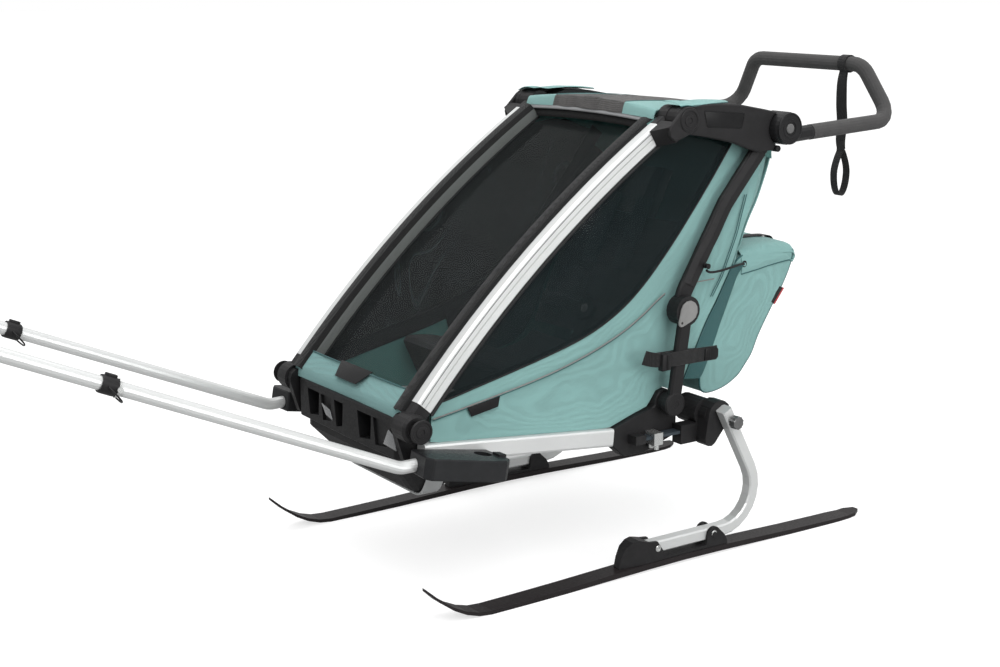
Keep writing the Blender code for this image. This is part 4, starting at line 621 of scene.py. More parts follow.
def make_sides():
    seam = bowed(-0.0190, 0.042, 0.044, 60)
    edge = window_edge(60)
    start = min(range(len(seam)), key=lambda i: min((seam[i] - p).length for p in edge[:12]))
    inner = [p for p in edge if (p - seam[start]).dot(Vector((0.76, 0.65))) > 0.004]
    edge = even([seam[start], *inner], 60)
    top = [*seam[start:], Vector((0.530, 0.848)), Vector((0.590, 0.838)), Vector((0.647, 0.822))]
    over = even(top, 60)
    x = 0.2242

    def pane(u, v, p):
        middle = math.sin(math.pi * min(1, max(0, u))) * math.sin(math.pi * v)
        return -0.0035 * middle + wrinkle(p, 11, 0.0016) * middle

    rows = ruled(at(edge, x), at(over, x), 16)
    form = shell(rows, 0.0012, pane)
    soft("side_window_left", form, WINDOW, "tinted_window")
    soft("side_window_right", mirrored(form), FAR_WINDOW, "tinted_window")
    slope = Vector((0.435, -0.042)).normalized()
    rail_top = Vector((-slope.y, slope.x)) * 0.0183
    bottom = [Vector((-0.085, 0.2965)) + slope * 0.018 + rail_top, Vector((0.350, 0.2545)) - slope * 0.006 + rail_top]
    bottom += [Vector((0.4025, 0.2920)), Vector((0.4445, 0.3030))]
    bottom += [LOW + Vector((math.cos(t), math.sin(t))) * 0.028
               for t in (math.radians(a) for a in range(180, 10, -20))]
    rear = [Vector(p) for p in REAR_EDGE]
    hem = even([seam[start], *reversed(seam[:start]), *bottom, *rear], 90)
    corner = min(range(91), key=lambda i: (hem[i] - bottom[0]).length)
    hem_low = even(hem[corner:], 60)
    lift = even([seam[start], *edge[1:]], 60)
    cover = ruled(at(hem_low, x), at(lift, x), 14)

    def panel(u, v, p):
        edge_free = min(1, u * 6) * min(1, (1 - u) * 6)
        billow = math.sin(math.pi * u) * math.sin(math.pi * min(1, v * 1.02))
        pull = wrinkle((p.y * 5 + p.z * 9, p.z * 4, 0), 1.0, 0.0016) + wrinkle(p, 26, 0.0006)
        return 0.0045 * billow + pull * edge_free

    form = shell(cover, 0.0022, panel)
    for word, shape in both_sides(form):
        obj = soft(f"side_fabric_{word}", shape, TEAL, "teal_fabric")
        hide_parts(f"side_panel_{word}")

    outer = [side_point(p, x - 0.0005) for p in resampled(REAR_EDGE, 40)]
    inner = [(0.5456, 0.3239), (0.5553, 0.3489), (0.5765, 0.3916), (0.6073, 0.4516), (0.6334, 0.4911),
             (0.6542, 0.5270), (0.6751, 0.5630)]
    inner += [(0.7010, 0.6320), (0.7190, 0.6660), (0.7370, 0.7000), (0.7520, 0.7450), (0.7660, 0.7980)]
    inner = [side_point(p, 0.2045) for p in resampled(inner, 40)]
    form = shell(ruled(outer, inner, 6), 0.0016, creased(16, 0.0008))
    soft_pair("side_return", form, [TEAL, TEAL_DARK], "teal_fabric", zones=lambda c: 1 if c.z < 0.572 else 0)
    # Painted shade: a darker teal sheet just inside each side panel stands in for the shade inside the cabin.
    inner_hem = at(hem_low, x - 0.0060)
    inner_edge = at(lift, x - 0.0060)
    form = shell(ruled(inner_hem, inner_edge, 10), 0.0012, creased(12, 0.001))
    soft_pair("side_shade_sheet", form, SHADED_TEAL, "teal_fabric")
    border = at(edge, x + 0.0012)
    soft_pair("window_piping", tube(border, 0.0022, 8), BLACK_FINE, "webbing")
    inside = [side_point(p, x - 0.0085) + Vector((0, 0.003, -0.010)) for p in edge]
    soft_pair("window_hem", sweep(inside, [(a * 0.4, b) for a, b in flat(0.005, 0.034)]), SEAT_FRONT, "webbing")
    deeper = [side_point(p, x - 0.0125) + Vector((0.0, 0.006, -0.030 - 0.024 * k / 60))
              for k, p in enumerate(edge)][22:]
    soft_pair("window_fold", sweep(deeper, [(a * 0.5, b) for a, b in flat(0.006, 0.044)]), SEAT_FRONT, "webbing")
    rib = resampled([(-0.061, 0.357), (0.012, 0.369), (0.092, 0.383), (0.165, 0.397), (0.233, 0.413), (0.31, 0.437),
                     (0.38, 0.466), (0.43, 0.495), (0.457, 0.514), (0.480, 0.528)], 50)

    def on_panel(p, out):
        return side_point(p, x + out)

    soft_pair("side_seam", tube([on_panel(p, 0.0040) for p in rib], 0.0011, 6), THREAD, "webbing")
    welt = [Vector((p.x, p.y - 0.0030)) for p in rib]
    soft_pair("side_welt", sweep([on_panel(p, 0.0037) for p in welt], flat(0.0014, 0.0018)), TEAL_DARK, "teal_fabric")
    tag = [(0.0130, 0.3675), (0.0850, 0.3790), (0.0810, 0.3590), (0.0215, 0.3490)]
    soft_pair("side_badge", prism(tag, x + 0.0036, x + 0.0056), BLACK_FINE, "webbing", bevel=0.0006)
    strip = resampled([(0.6833, 0.7079), (0.6713, 0.6674), (0.6592, 0.6268), (0.6366, 0.5747), (0.6240, 0.5467),
                       (0.5990, 0.5079)], 40)
    for index, aside in enumerate((0.0, 0.0055)):
        line = [side_point(p + Vector((aside, 0)), x + 0.0042) for p in strip]
        soft_pair(f"rear_seam_{index}", tube(line, 0.0009, 6), TEAL_DARK, "webbing")
    hem = [side_point(p, x + 0.0034) for p in resampled([(0.560, 0.5415), (0.590, 0.5425), (0.6090, 0.5434)], 16)]
    soft_pair("rear_strip_hem", tube(hem, 0.0011, 6), THREAD, "webbing")


make_sides()


# Front cover: a wide black flange by each upright, a grey wall down to the film, and a teal foot


def make_front():
    half = 0.2096
    trims = (0.016, 0.036)
    high = bowed(0.0150, *trims, 40)
    deep = bowed(-0.0070, *trims, 40)

    def sheet_rows(line, xs):
        return [[side_point(p, x) for x in xs] for p in line]

    xs = spaced(-0.178, 0.356, 20)

    def film_wave(u, v, p):
        middle = math.sin(math.pi * u) * math.sin(math.pi * v)
        return 0.004 * middle + wrinkle(p, 9, 0.0016) * middle

    clear = soft("front_film", shell(sheet_rows(deep, xs), 0.0012, film_wave), COVER, "tinted_window")
    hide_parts("front_cover")
    ridge = bowed(0.0255, *trims, 40)
    wall_rows = [[side_point(h, half), side_point(h.lerp(r, 0.75), 0.2075), side_point(r, 0.2030),
                  side_point(r, 0.1920), side_point(h.lerp(r, 0.85), 0.1850), side_point(h.lerp(d, 0.06), 0.1805),
                  side_point(h.lerp(d, 0.5), 0.1792), side_point(d, 0.1785)] for h, d, r in zip(high, deep, ridge)]
    soft_pair("cover_flange", shell(wall_rows, 0.0020), [WEB, GREY_TAPE], "webbing",
              zones=lambda c: 1 if abs(c.x) < 0.1806 else 0)
    soft_pair("cover_piping", tube([side_point(d, 0.1775) for d in deep], 0.0026, 8), BLACK_FINE, "webbing")
    top = high[-1]
    lip = [Vector((x, *(top + Vector((0.004, 0.004 + 0.006 * (1 - (x / 0.2) ** 2)))))) for x in spaced(-0.2, 0.4, 24)]
    soft("cover_hem", sweep(lip, flat(0.012, 0.0040), across=(0, 0.66, 0.75)), HEM_GREY, "webbing")
    under = [p + Vector((0, 0.010, -0.014)) for p in lip]
    soft("cover_roll", tube(under, 0.0085, 12, across=(0, 1, 0)), WEB, "webbing")

    foot_line = [p for p in bowed(0.0175, 0.020, 0.0, 60) if p.y < 0.4115]
    foot = even(foot_line, 8)
    xs = spaced(-0.2085, 0.417, 16)
    drop = [foot[0] + Vector((-0.0030, -0.0195)), foot[0] + Vector((-0.0022, -0.0100))]
    rows = [[side_point(p, x) for x in xs] for p in [*drop, *foot]]
    foot_wave = lambda u, v, p: 0.003 * math.sin(math.pi * v) + wrinkle(p, 18, 0.0008)
    soft("cover_foot", shell(rows, 0.0022, foot_wave), TEAL_FOOT, "teal_fabric")
    hem = [side_point(foot[-1], x) + Vector((0, -0.003 * math.sin(math.pi * (x + 0.2085) / 0.417) * 0.66, 0.0))
           for x in xs]
    soft("cover_foot_hem", tube(hem, 0.0016, 8, across=(0, 0, 1)), TEAL_DARK, "teal_fabric")
    middle = foot[len(foot) // 2]
    normal = Vector((0, -0.655, 0.755))
    along = Vector((0, 0.755, 0.655))
    centre = side_point(middle + Vector((0.0045, 0.0040)), -0.009) + normal * 0.0042
    badge = [(-0.060, 0.018), (0.060, 0.018), (0.040, -0.018), (-0.040, -0.018)]
    soft("cover_badge", prism(badge, 0, 0.0016, centre, (1, 0, 0), along, normal), BLACK_FINE, "webbing",
         bevel=0.0006)


make_front()


def make_upright_trim():
    groove = [side_point(p, FRAME_OUT + 0.00015) for p in bowed(0.0105, 0.044, 0.044, 40)]
    pair("upright_groove", sweep(groove, flat(0.0007, 0.0012)), BLACK_FINE, "front_frame", "silver")
    low = [side_point(p, FRAME_OUT - 0.0030) for p in bowed(-0.0212, 0.040, 0.040, 40)]
    pair("upright_keder", sweep(low, flat(0.0085, 0.0062)), RUBBER, "front_frame", "webbing")
    inner = [side_point(p, FRAME_IN - 0.0002) for p in bowed(0.0172, 0.044, 0.044, 40)]
    pair("upright_lip", sweep(inner, flat(0.0020, 0.0034)), RUBBER, "front_frame", "webbing")


make_upright_trim()


# Canopy


def make_canopy():
    rear = BACK[0]
    front = B + Vector((-0.026, 0.0165))
    half = CABIN_HALF
    crest = []
    for i in range(29):
        share = i / 28
        crest.append((front.x + (rear.x - 0.004 - front.x) * share,
                      front.y + (rear.y + 0.010 - front.y) * share ** 2))
    rows = [[Vector((half * v, y, z + CANOPY_CROWN * (1 - v ** 2))) for v in spaced(-1, 2, 40)] for y, z in crest]
    hem = bowed(0.0150, 0.028, 0.036, 40)[-1] + Vector((0.0035, 0.0060))
    fall = []
    for share in (0.0, 0.25, 0.5, 0.75):
        rise = math.sin(math.pi / 2 * share)
        fall.append([Vector((q.x, hem.x + (q.y - hem.x) * share,
                             hem.y + 0.006 * (1 - (q.x / half) ** 2) * (1 - share) + (q.z - hem.y) * rise))
                     for q in rows[0]])
    rows = fall + rows

    def fold(u, v, p):
        inside = soft_step(0.115 - abs(p.x), -0.01, 0.03)
        ripple = noise.noise(Vector((p.x * 22, p.y * 5 + 3.1, 0))) * 0.0045 * inside
        sag = -0.004 * math.sin(math.pi * u) * inside
        return -(ripple + sag) + wrinkle(p, 16, 0.0007)

    obj = soft("canopy_sheet", shell(rows, 0.0022, fold), [TEAL, netting()], "teal_fabric",
               zones=lambda c: 1 if abs(c.x) < CANOPY_MESH_HALF else 0)
    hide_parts("canopy")
    lift = [(0.440, 0.815), (0.490, 0.830), (0.560, 0.8330), (0.620, 0.8120), (0.700, 0.7930), (0.7600, 0.7750)]
    eaves = [(0.440, 0.862), (0.500, 0.8850), (0.560, 0.8850), (0.620, 0.8800), (0.700, 0.8680), (0.7640, 0.8500)]
    # Painted shade: the canopy's sides under the side mouldings are the darker teal.
    side = ruled(at(resampled(lift, 30), 0.2215), at(resampled(eaves, 30), 0.2100), 6)
    soft_pair("canopy_side", shell(side, 0.0016, creased(14, 0.0008)), SHADED_TEAL, "teal_fabric")
    for index, x in enumerate((CANOPY_MESH_HALF, -CANOPY_MESH_HALF)):
        line = [Vector((x, y, z + CANOPY_CROWN * (1 - (x / half) ** 2) + 0.0016)) for y, z in crest]
        soft(f"canopy_seam_{index}", sweep(line, flat(0.0050, 0.0012)), TEAL_DARK, "webbing")


def moulding_top(count):
    start = B + Vector((0.004, 0.027))
    end = H + Vector((-0.052, 0.040))
    third = (end - start) / 3
    rise = Vector((0.0, 0.006))
    return resampled([start, start + third + rise, start + 2 * third + rise * 1.2, end], count)


def make_canopy_flaps():
    """The canopy's edge laps over the front part of each side moulding and tapers away along it."""
    edge = [B + Vector((-0.016, 0.0300)), B + Vector((0.002, 0.0305)),
            *[p for p in moulding_top(40) if 0.506 < p.x < 0.640]]
    edge = resampled(edge, 26)
    rows = []
    for k, p in enumerate(edge):
        share = k / 26
        lift = 0.0030 + 0.0012 * math.sin(math.pi * share)
        reach = 0.2105 + 0.0555 * math.sqrt(max(0.0, 1 - share ** 2.2)) + 0.0015
        fall = 0.0065 * (1 - share) ** 0.5
        row = []
        for t in range(7):
            across = t / 6
            round_over = fall * across ** 4
            row.append(side_point(p + Vector((0, lift + 0.0012 * math.sin(math.pi * across) - round_over)),
                                  0.2108 + (reach - 0.2108) * across))
        rows.append(row)
    pair("canopy_flap", shell(rows, 0.0018, creased(26, 0.0009)), TEAL, "top_frame", "teal_fabric", smooth=1)
    rim = [row[-1] for row in rows]
    pair("canopy_flap_rim", tube(rim, 0.0011, 6), TEAL_DARK, "top_frame", "teal_fabric")


make_canopy()
make_canopy_flaps()


# Back panel, seat and harness


def make_back():
    rows = []
    line = [p for p in resampled(BACK, 44) if p.y > 0.346]
    for p in line:
        half = CABIN_HALF if p.y > 0.60 else 0.2060
        rows.append([side_point(p, half * (-1 + 2 * j / 24)) for j in range(25)])
    rows.insert(0, [Vector((q.x, q.y - 0.0020, q.z + 0.0115 + CANOPY_CROWN * (1 - (q.x / CABIN_HALF) ** 2)))
                    for q in rows[0]])

    def belly(u, v, p):
        return wrinkle(p, 10, 0.002) * min(1, 5 * min(u, 1 - u, v, 1 - v) + 0.05)

    obj = soft("back_fabric", shell(rows, 0.0022, belly), TEAL, "teal_fabric")
    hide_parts("back_panel")
    up = [p for p in line if 0.60 < p.y < 0.83]
    for word, x in (("left", 0.12), ("right", -0.12)):
        soft(f"back_seam_{word}", tube([side_point(p + Vector((0.0016, 0)), x) for p in up], 0.0014, 6), TEAL_DARK,
             "teal_fabric")
    vent = [p for p in line if 0.640 < p.y < 0.800]
    xs = spaced(-0.105, 0.21, 14)
    rows = [[side_point(p + Vector((0.0030, 0)), x) for x in xs] for p in even(vent, 14)]
    soft("back_vent", shell(rows, 0.0012), netting(), "tinted_window")
    rim = [side_point(p + Vector((0.0042, 0)), 0.107) for p in vent]
    rim += [side_point(p + Vector((0.0042, 0)), -0.107) for p in reversed(vent)]
    rim = even([*rim, rim[0]], 80)[:-1]
    aside = lambda i: Vector((0, 1, 0)).cross(rim[(i + 1) % 80] - rim[i - 1])
    soft("back_vent_binding", sweep(rim, flat(0.008, 0.0022), aside, closed=True), TEAL_DARK, "teal_fabric")


SEAT_LINE = [(0.150, 0.350), (0.270, 0.343), (0.395, 0.350), (0.455, 0.395), (0.520, 0.530), (0.590, 0.670),
             (0.650, 0.795)]


def seat_frame(share, lift):
    line = resampled(SEAT_LINE, 80)
    i = min(79, max(1, round(share * 80)))
    along = (line[i + 1] - line[i - 1]).normalized()
    return line[i] + Vector((-along.y, along.x)) * lift


def pad(first, last, half, thick, channels, crown, steps=34, across=22):
    """A closed cushion along the seat line: crowned, drawn in at its ends, with sewn channels across it."""
    verts, faces = [], []
    for i in range(steps + 1):
        u = i / steps
        ends = math.sin(math.pi * min(1, max(0, u))) ** 0.28
        for s in (1, -1):
            for j in range(across + 1):
                v = j / across
                a = -1 + 2 * v
                edge = max(0.0, 1 - abs(a) ** 6) ** 0.5
                groove = 0.0
                for c in channels:
                    groove = max(groove, math.exp(-((u - c) / 0.016) ** 2))
                up = (thick * 0.46 + crown * (1 - a * a) * math.sin(math.pi * u)) * edge * ends * (1 - 0.35 * groove)
                down = -thick * 0.34 * edge * ends
                waist = 1 - 0.03 * math.sin(math.pi * u) - 0.04 * (1 - ends)
                p = seat_frame(first + (last - first) * u, up if s > 0 else down)
                verts.append(side_point(p, half * a * waist))
    row = 2 * (across + 1)
    m = across + 1
    for i in range(steps):
        for j in range(across):
            a, b = i * row + j, (i + 1) * row + j
            faces += [(a, b, b + 1, a + 1), (a + m + 1, b + m + 1, b + m, a + m)]
        for j in (0, across):
            a, b = i * row + j, (i + 1) * row + j
            faces.append((a, a + m, b + m, b) if j == 0 else (a, b, b + m, a + m))
    for i in (0, steps):
        for j in range(across):
            a = i * row + j
            faces.append((a, a + 1, a + m + 1, a + m) if i == 0 else (a, a + m, a + m + 1, a + 1))
    return verts, faces


def inflated(obj, cap, pressure=3.0, frames=16):
    """Swells the cushion by cloth pressure, each point by at most cap, then keeps the result."""
    rest = [v.co.copy() for v in obj.data.vertices]
    cloth = obj.modifiers.new("puff", "CLOTH")
    cloth.settings.quality = 5
    cloth.settings.mass = 0.3
    cloth.settings.tension_stiffness = 12
    cloth.settings.compression_stiffness = 12
    cloth.settings.shear_stiffness = 8
    cloth.settings.bending_stiffness = 1.5
    cloth.settings.use_pressure = True
    cloth.settings.uniform_pressure_force = pressure
    cloth.settings.effector_weights.gravity = 0
    cloth.collision_settings.use_collision = False
    cloth.collision_settings.use_self_collision = False
    for number in range(1, frames + 1):
        scene.frame_set(number)
    final = obj.evaluated_get(bpy.context.evaluated_depsgraph_get()).to_mesh()
    moved = [v.co.copy() for v in final.vertices]
    obj.evaluated_get(bpy.context.evaluated_depsgraph_get()).to_mesh_clear()
    obj.modifiers.clear()
    scene.frame_set(1)
    for vertex, start, end in zip(obj.data.vertices, rest, moved):
        step = end - start
        vertex.co = start + (step * (cap / step.length) if step.length > cap else step)
    obj.data.update()
    return obj


def cushion(name, shape, finish, cap, fill, **options):
    obj = piece(name, shape, finish, "chassis", "seat_fabric", sharp=60, **options)
    inflated(obj, cap)
    obj.modifiers.new("rounded", "SUBSURF").levels = 1
    applied(obj)
    obj.data.shade_smooth()
    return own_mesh(obj)


def make_seat():
    base = cushion("seat_base", pad(0.015, 0.415, 0.196, 0.024, (0.33, 0.66), 0.004), SEAT, 0.005, 0.7)
    back = cushion("seat_back", pad(0.425, 0.800, 0.200, 0.024, (0.26, 0.52, 0.80), 0.004), SEAT, 0.005, 0.7)
    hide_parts("seat")
    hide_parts("seat")
    xs = spaced(-0.085, 0.17, 12)
    rows = [[side_point(seat_frame(0.790 + 0.13 * k / 8, 0.010), x) for x in xs] for k in range(9)]
    soft("headrest_net", shell(rows, 0.0016), headrest_net(), "seat_fabric")
    fall = resampled([(0.166, 0.318), (0.150, 0.352), (0.134, 0.386), (0.1290, 0.4010), (0.1390, 0.4075),
                      (0.175, 0.4050), (0.235, 0.3920), (0.300, 0.3760)], 24)
    rows = [[side_point(p, x) for x in spaced(-0.190, 0.38, 20)] for p in fall]
    soft("seat_front_fall", shell(rows, 0.0024, creased(12, 0.002)), SEAT_FRONT, "seat_fabric")
    for word, s in SIDES:
        rows = []
        for k in range(21):
            share = 0.18 + 0.58 * k / 20
            low = side_point(seat_frame(share, 0.004), 0.196 * s)
            out = side_point(seat_frame(share, 0.050 + 0.03 * math.sin(math.pi * k / 20)), 0.2155 * s)
            rows.append([low.lerp(out, t / 4) + Vector((0.004 * s * math.sin(math.pi * t / 4), 0, 0))
                         for t in range(5)])
        soft(f"seat_wing_{word}", shell(rows, 0.0060, creased(20, 0.001)), SEAT_SIDE, "seat_fabric")


def make_harness():
    for word, s in SIDES:
        line = [seat_frame(0.52 + 0.40 * k / 24, 0.0188 + 0.003 * math.sin(math.pi * k / 24)) for k in range(25)]
        strap = sweep([side_point(p, s * (HARNESS_HALF - 0.012 * (1 - k / 24) ** 2)) for k, p in enumerate(line)],
                      flat(0.026, 0.0018))
        obj = soft(f"harness_strap_{word}", strap, WEB, "webbing")
        if s > 0:
            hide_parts("harness")
        wide = [seat_frame(0.62 + 0.22 * k / 16, 0.0235) for k in range(17)]
        cover = sweep(at(wide, s * HARNESS_HALF), flat(0.050, 0.0085), (1, 0, 0))
        soft(f"harness_pad_{word}", cover, SEAT_SIDE, "seat_fabric", smooth=1)
        belt = [side_point(seat_frame(0.50, 0.016 + 0.012 * math.sin(math.pi * k / 12)), s * (0.020 + 0.150 * k / 12))
                for k in range(13)]
        soft(f"harness_belt_{word}", sweep(belt, flat(0.024, 0.0018), across=(0, 0.35, 0.94)), WEB, "webbing")
    centre = side_point(seat_frame(0.505, 0.026), 0)
    along = (seat_frame(0.56, 0.026) - seat_frame(0.45, 0.026)).normalized()
    up = Vector((0, -along.y, along.x))
    outline = []
    for k in range(30):
        t = 2 * math.pi * k / 30
        lobe = 1 + 0.1 * math.cos(3 * t)
        outline.append((0.026 * math.cos(t) * lobe, 0.026 * math.sin(t) * lobe))
    buckle = prism(outline, -0.007, 0.005, centre, (1, 0, 0), Vector((0, along.x, along.y)), up)
    soft("harness_buckle", buckle, BLACK, "webbing", bevel=0.002)
    press = lathe([(0, -0.002), (0.010, -0.002), (0.0095, 0.0065), (0.008, 0.0075), (0, 0.0075)], centre, up, 28)
    soft("harness_release", press, GREY, "grey_button")
    crotch = [side_point(seat_frame(0.33 + 0.14 * k / 12, 0.018 + 0.006 * k / 12), 0) for k in range(13)]
    soft("harness_crotch", sweep(crotch, flat(0.030, 0.0022)), WEB, "webbing")


make_back()
make_seat()
make_harness()


# Cargo bag


def make_bag():
    half = 0.1965
    profile = [(0.7125, 0.576), (0.690, 0.560), (0.6645, 0.506), (0.634, 0.445), (0.6085, 0.398), (0.6050, 0.350),
               (0.6115, 0.3020), (0.662, 0.3020), (0.706, 0.3215), (0.7280, 0.3440), (0.7460, 0.3660),
               (0.7640, 0.4040), (0.7980, 0.4580), (0.8310, 0.5080), (0.8510, 0.5500), (0.8535, 0.5760)]
    line = resampled(profile, 64)
    rows = [[side_point(p, half * v) for v in spaced(-1, 2, 34)] for p in line]

    def swell(u, v, p):
        inside = math.sin(math.pi * v) ** 0.6
        ends = min(1, 8 * min(u, 1 - u) + 0.1)
        crease = noise.noise(Vector((p.x * 9, p.y * 14, p.z * 10))) * 0.003
        return -(0.001 + crease * ends * inside)

    obj = firm("bag_body", shell(rows, 0.0024, swell), TEAL, "teal_fabric")
    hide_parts("cargo_bag")
    for word, s in SIDES:
        lower = line[:33]
        upper = list(reversed(line[32:]))
        a = [side_point(p, half * s) for p in even(lower, 30)]
        b = [side_point(p, half * s) for p in even(upper, 30)]
        grid = ruled(a, b, 12)

        def bulge(u, v, p):
            middle = math.sin(math.pi * u) * math.sin(math.pi * v)
            return -0.003 * middle * s + wrinkle(p, 16, 0.0016) * middle

        firm(f"bag_side_{word}", shell(grid, 0.0024, bulge), TEAL, "teal_fabric")
        edge = [side_point(p, (half - 0.0006) * s) for p in even(line, 90)]
        firm(f"bag_piping_{word}", tube(edge, 0.0022, 8), TEAL_DARK, "teal_fabric")
        seam = resampled([(0.7455, 0.556), (0.742, 0.52), (0.724, 0.44), (0.690, 0.36), (0.676, 0.310)], 40)
        seam = at(seam, (half + 0.0012) * s)
        firm(f"bag_seam_{word}", sweep(seam, flat(0.0012, 0.0026)), TEAL_DARK, "teal_fabric")
    # Lid: a soft cap over the mouth, rounded over at the sides and the rear
    top = resampled([(0.7085, 0.5870), (0.745, 0.5900), (0.790, 0.5915), (0.830, 0.5900), (0.8500, 0.5870),
                     (0.8590, 0.5790), (0.8600, 0.5680), (0.8535, 0.5590)], 40)
    rows = []
    for i, p in enumerate(top):
        share = i / 40
        row = []
        for j in range(49):
            v = -1 + 2 * j / 48
            away = max(0.0, (abs(v) - 0.88) / 0.12)
            reach = 0.9 * abs(v) / 0.88 if abs(v) < 0.88 else 0.9 + 0.1 * math.sin(math.pi / 2 * away)
            side = math.copysign((half + 0.0015) * min(1.0, reach), v)
            crown = 0.006 * (1 - v * v) * (1 - share ** 4)
            fall = 0.0185 * (1 - math.cos(math.pi / 2 * away)) * (1 - 0.4 * soft_step(share, 0.75, 1.0))
            row.append(Vector((side, p.x, p.y + crown - fall)))
        rows.append(row)
    firm("bag_lid", shell(rows, 0.0024, creased(12, 0.0018)), TEAL, "teal_fabric")
    edge_low = resampled([(0.7085, 0.5375), (0.7454, 0.5417), (0.7913, 0.5486), (0.8310, 0.5530), (0.8535, 0.5545)],
                         26)
    for word, s in SIDES:
        rows = []
        for k, low in enumerate(edge_low):
            p = top[round(k * 38 / 26)]
            high = Vector((low.x, p.y - 0.0170))
            rows.append([Vector((s * (half + 0.0015 + 0.0020 * math.sin(math.pi * t / 8)), low.x,
                                 high.y + (low.y - high.y) * t / 8)) for t in range(9)])
        crumple = lambda u, v, p: wrinkle(p, 18, 0.0012) * math.sin(math.pi * v)
        firm(f"lid_skirt_{word}", shell(rows, 0.0022, crumple), TEAL, "teal_fabric")
        hem = [row[-1] + Vector((0.0012 * s, 0, 0)) for row in rows]
        firm(f"lid_hem_{word}", tube(hem, 0.0014, 8), TEAL_DARK, "teal_fabric")
    # Straps over the lid, and a folded tag sewn to the near rear edge
    for word, x in (("left", 0.120), ("right", -0.120)):
        strap = [side_point(p + Vector((0.0016, 0.0078)), x) for p in top[4:]]
        strap += [Vector((x, 0.8460, 0.5250)), Vector((x, 0.8160, 0.4800))]
        firm(f"lid_strap_{word}", sweep(resampled(strap, 40), flat(0.024, 0.0018)), WEB, "webbing")
        place = Vector((x, 0.8545, 0.5420))
        buckle = [(-0.016, -0.018), (0.016, -0.018), (0.014, 0.018), (-0.014, 0.018)]
        buckle = prism(buckle, -0.003, 0.005, place, (1, 0, 0), (0, 0.30, 0.95), (0, 0.95, -0.30))
        firm(f"lid_buckle_{word}", buckle, BLACK_FINE, "webbing", bevel=0.002)
    tag = [(0.8203, 0.4998), (0.8300, 0.4960), (0.8045, 0.4640), (0.7936, 0.4699)]
    firm("bag_tag", prism(tag, half - 0.0020, half + 0.0016), WEB, "webbing", bevel=0.0005)
    edge = [(0.8300, 0.4960), (0.8338, 0.4945), (0.8083, 0.4622), (0.8045, 0.4640)]
    firm("bag_tag_edge", prism(edge, half - 0.0022, half + 0.0018), RED, "webbing", bevel=0.0004)


make_bag()


# Details on the frame


def disc(profile, place, x, finish, name, body, slot="black_moulding", sides=36):
    """A turned detail on the outer face at x, on both sides."""
    return pair(name, lathe(profile, side_point(place, x), (1, 0, 0), sides), finish, body, slot)


def make_hinge_details():
    plate = [(0.0, -0.001), (0.0225, -0.001), (0.0225, 0.0010), (0.0212, 0.0022), (0.0188, 0.0022), (0.0180, 0.0008)]
    centre = [(0.0118, 0.0008), (0.0112, 0.0018), (0.0060, 0.0022), (0.0052, 0.0008), (0.0, 0.0008)]
    disc(plate + centre, B, FORK_FACE, BLACK, "top_hub_disc", "front_frame")
    disc(plate + centre, A, CHEEK_OUT, BLACK, "low_hub_disc", "front_frame")
    rim = [(0.0318, -0.001), (0.0318, 0.0008), (0.0306, 0.0018), (0.0290, 0.0018), (0.0282, 0.0004)]
    rim += [(0.0190, 0.0004), (0.0184, 0.0014), (0.0150, 0.0014), (0.0146, 0.0002), (0.0112, 0.0002),
            (0.0112, -0.001)]
    disc(rim, H, DRUM_FACE, BLACK_DRUM, "drum_rings", "handlebar")
    recess = [(0.5345, 0.8855), (0.6385, 0.8755), (0.6320, 0.8475), (0.5425, 0.8545)]
    frame_line = [side_point(Vector(p), CHEEK_OUT + 0.0002) for p in recess]
    rim = tube(even([*frame_line, frame_line[0]], 60)[:-1], 0.0010, 6, (0, 0.1, 1), True)
    pair("badge_rim", rim, BLACK_FINE, "top_frame", "black_moulding")
    plate = prism(recess, CHEEK_OUT - 0.0004, CHEEK_OUT + 0.0006)
    pair("badge_plate", plate, BLACK_FINE, "top_frame", "black_moulding", bevel=0.0004)
    link_ring = [(0.0235, -0.001), (0.0235, 0.0010), (0.0222, 0.0018), (0.0205, 0.0018), (0.0198, 0.0006),
                 (0.0125, 0.0006)]
    link_ring += [(0.0118, 0.0014), (0.0082, 0.0014), (0.0076, 0.0004), (0.0040, 0.0004), (0.0034, -0.0004),
                  (0.0, -0.0004)]
    disc(link_ring, LOW, LINK_FACE, BLACK, "low_link_rings", "lower_links")


def make_brace_ridge():
    """The brace's outer face is a low roof: a light front slope and a darker rear one."""
    line = resampled([(0.5205, 0.545), (0.5445, 0.590), (0.5790, 0.6395), (0.6150, 0.7000), (0.6590, 0.7510),
                      (0.7000, 0.7985)], 40)
    section = [(0.0160, 0.0), (0.0, 0.0028), (-0.0010, 0.0030), (-0.0160, 0.0), (-0.0160, -0.0012), (0.0160, -0.0012)]
    verts = []
    for i, p in enumerate(line):
        before, after = line[max(i - 1, 0)], line[min(i + 1, len(line) - 1)]
        along = (after - before).normalized()
        aside = Vector((-along.y, along.x))
        verts += [side_point(p + aside * -a, BRACE_FACE + b) for a, b in section]
    pair("brace_ridge", (verts, walls(len(line), len(section))), BLACK, "top_frame", "black_moulding", sharp=12)
    hook = lathe([(0, 0), (0.0052, 0), (0.0052, 0.004), (0.0035, 0.005), (0.0035, 0.009), (0.0056, 0.010),
                  (0.0056, 0.012), (0, 0.013)],
                 Vector((BRACE_FACE - 0.001, 0.5600, 0.5790)), (1, 0, 0), 18)
    pair("brace_hook", hook, BLACK_FINE, "top_frame", "black_moulding")


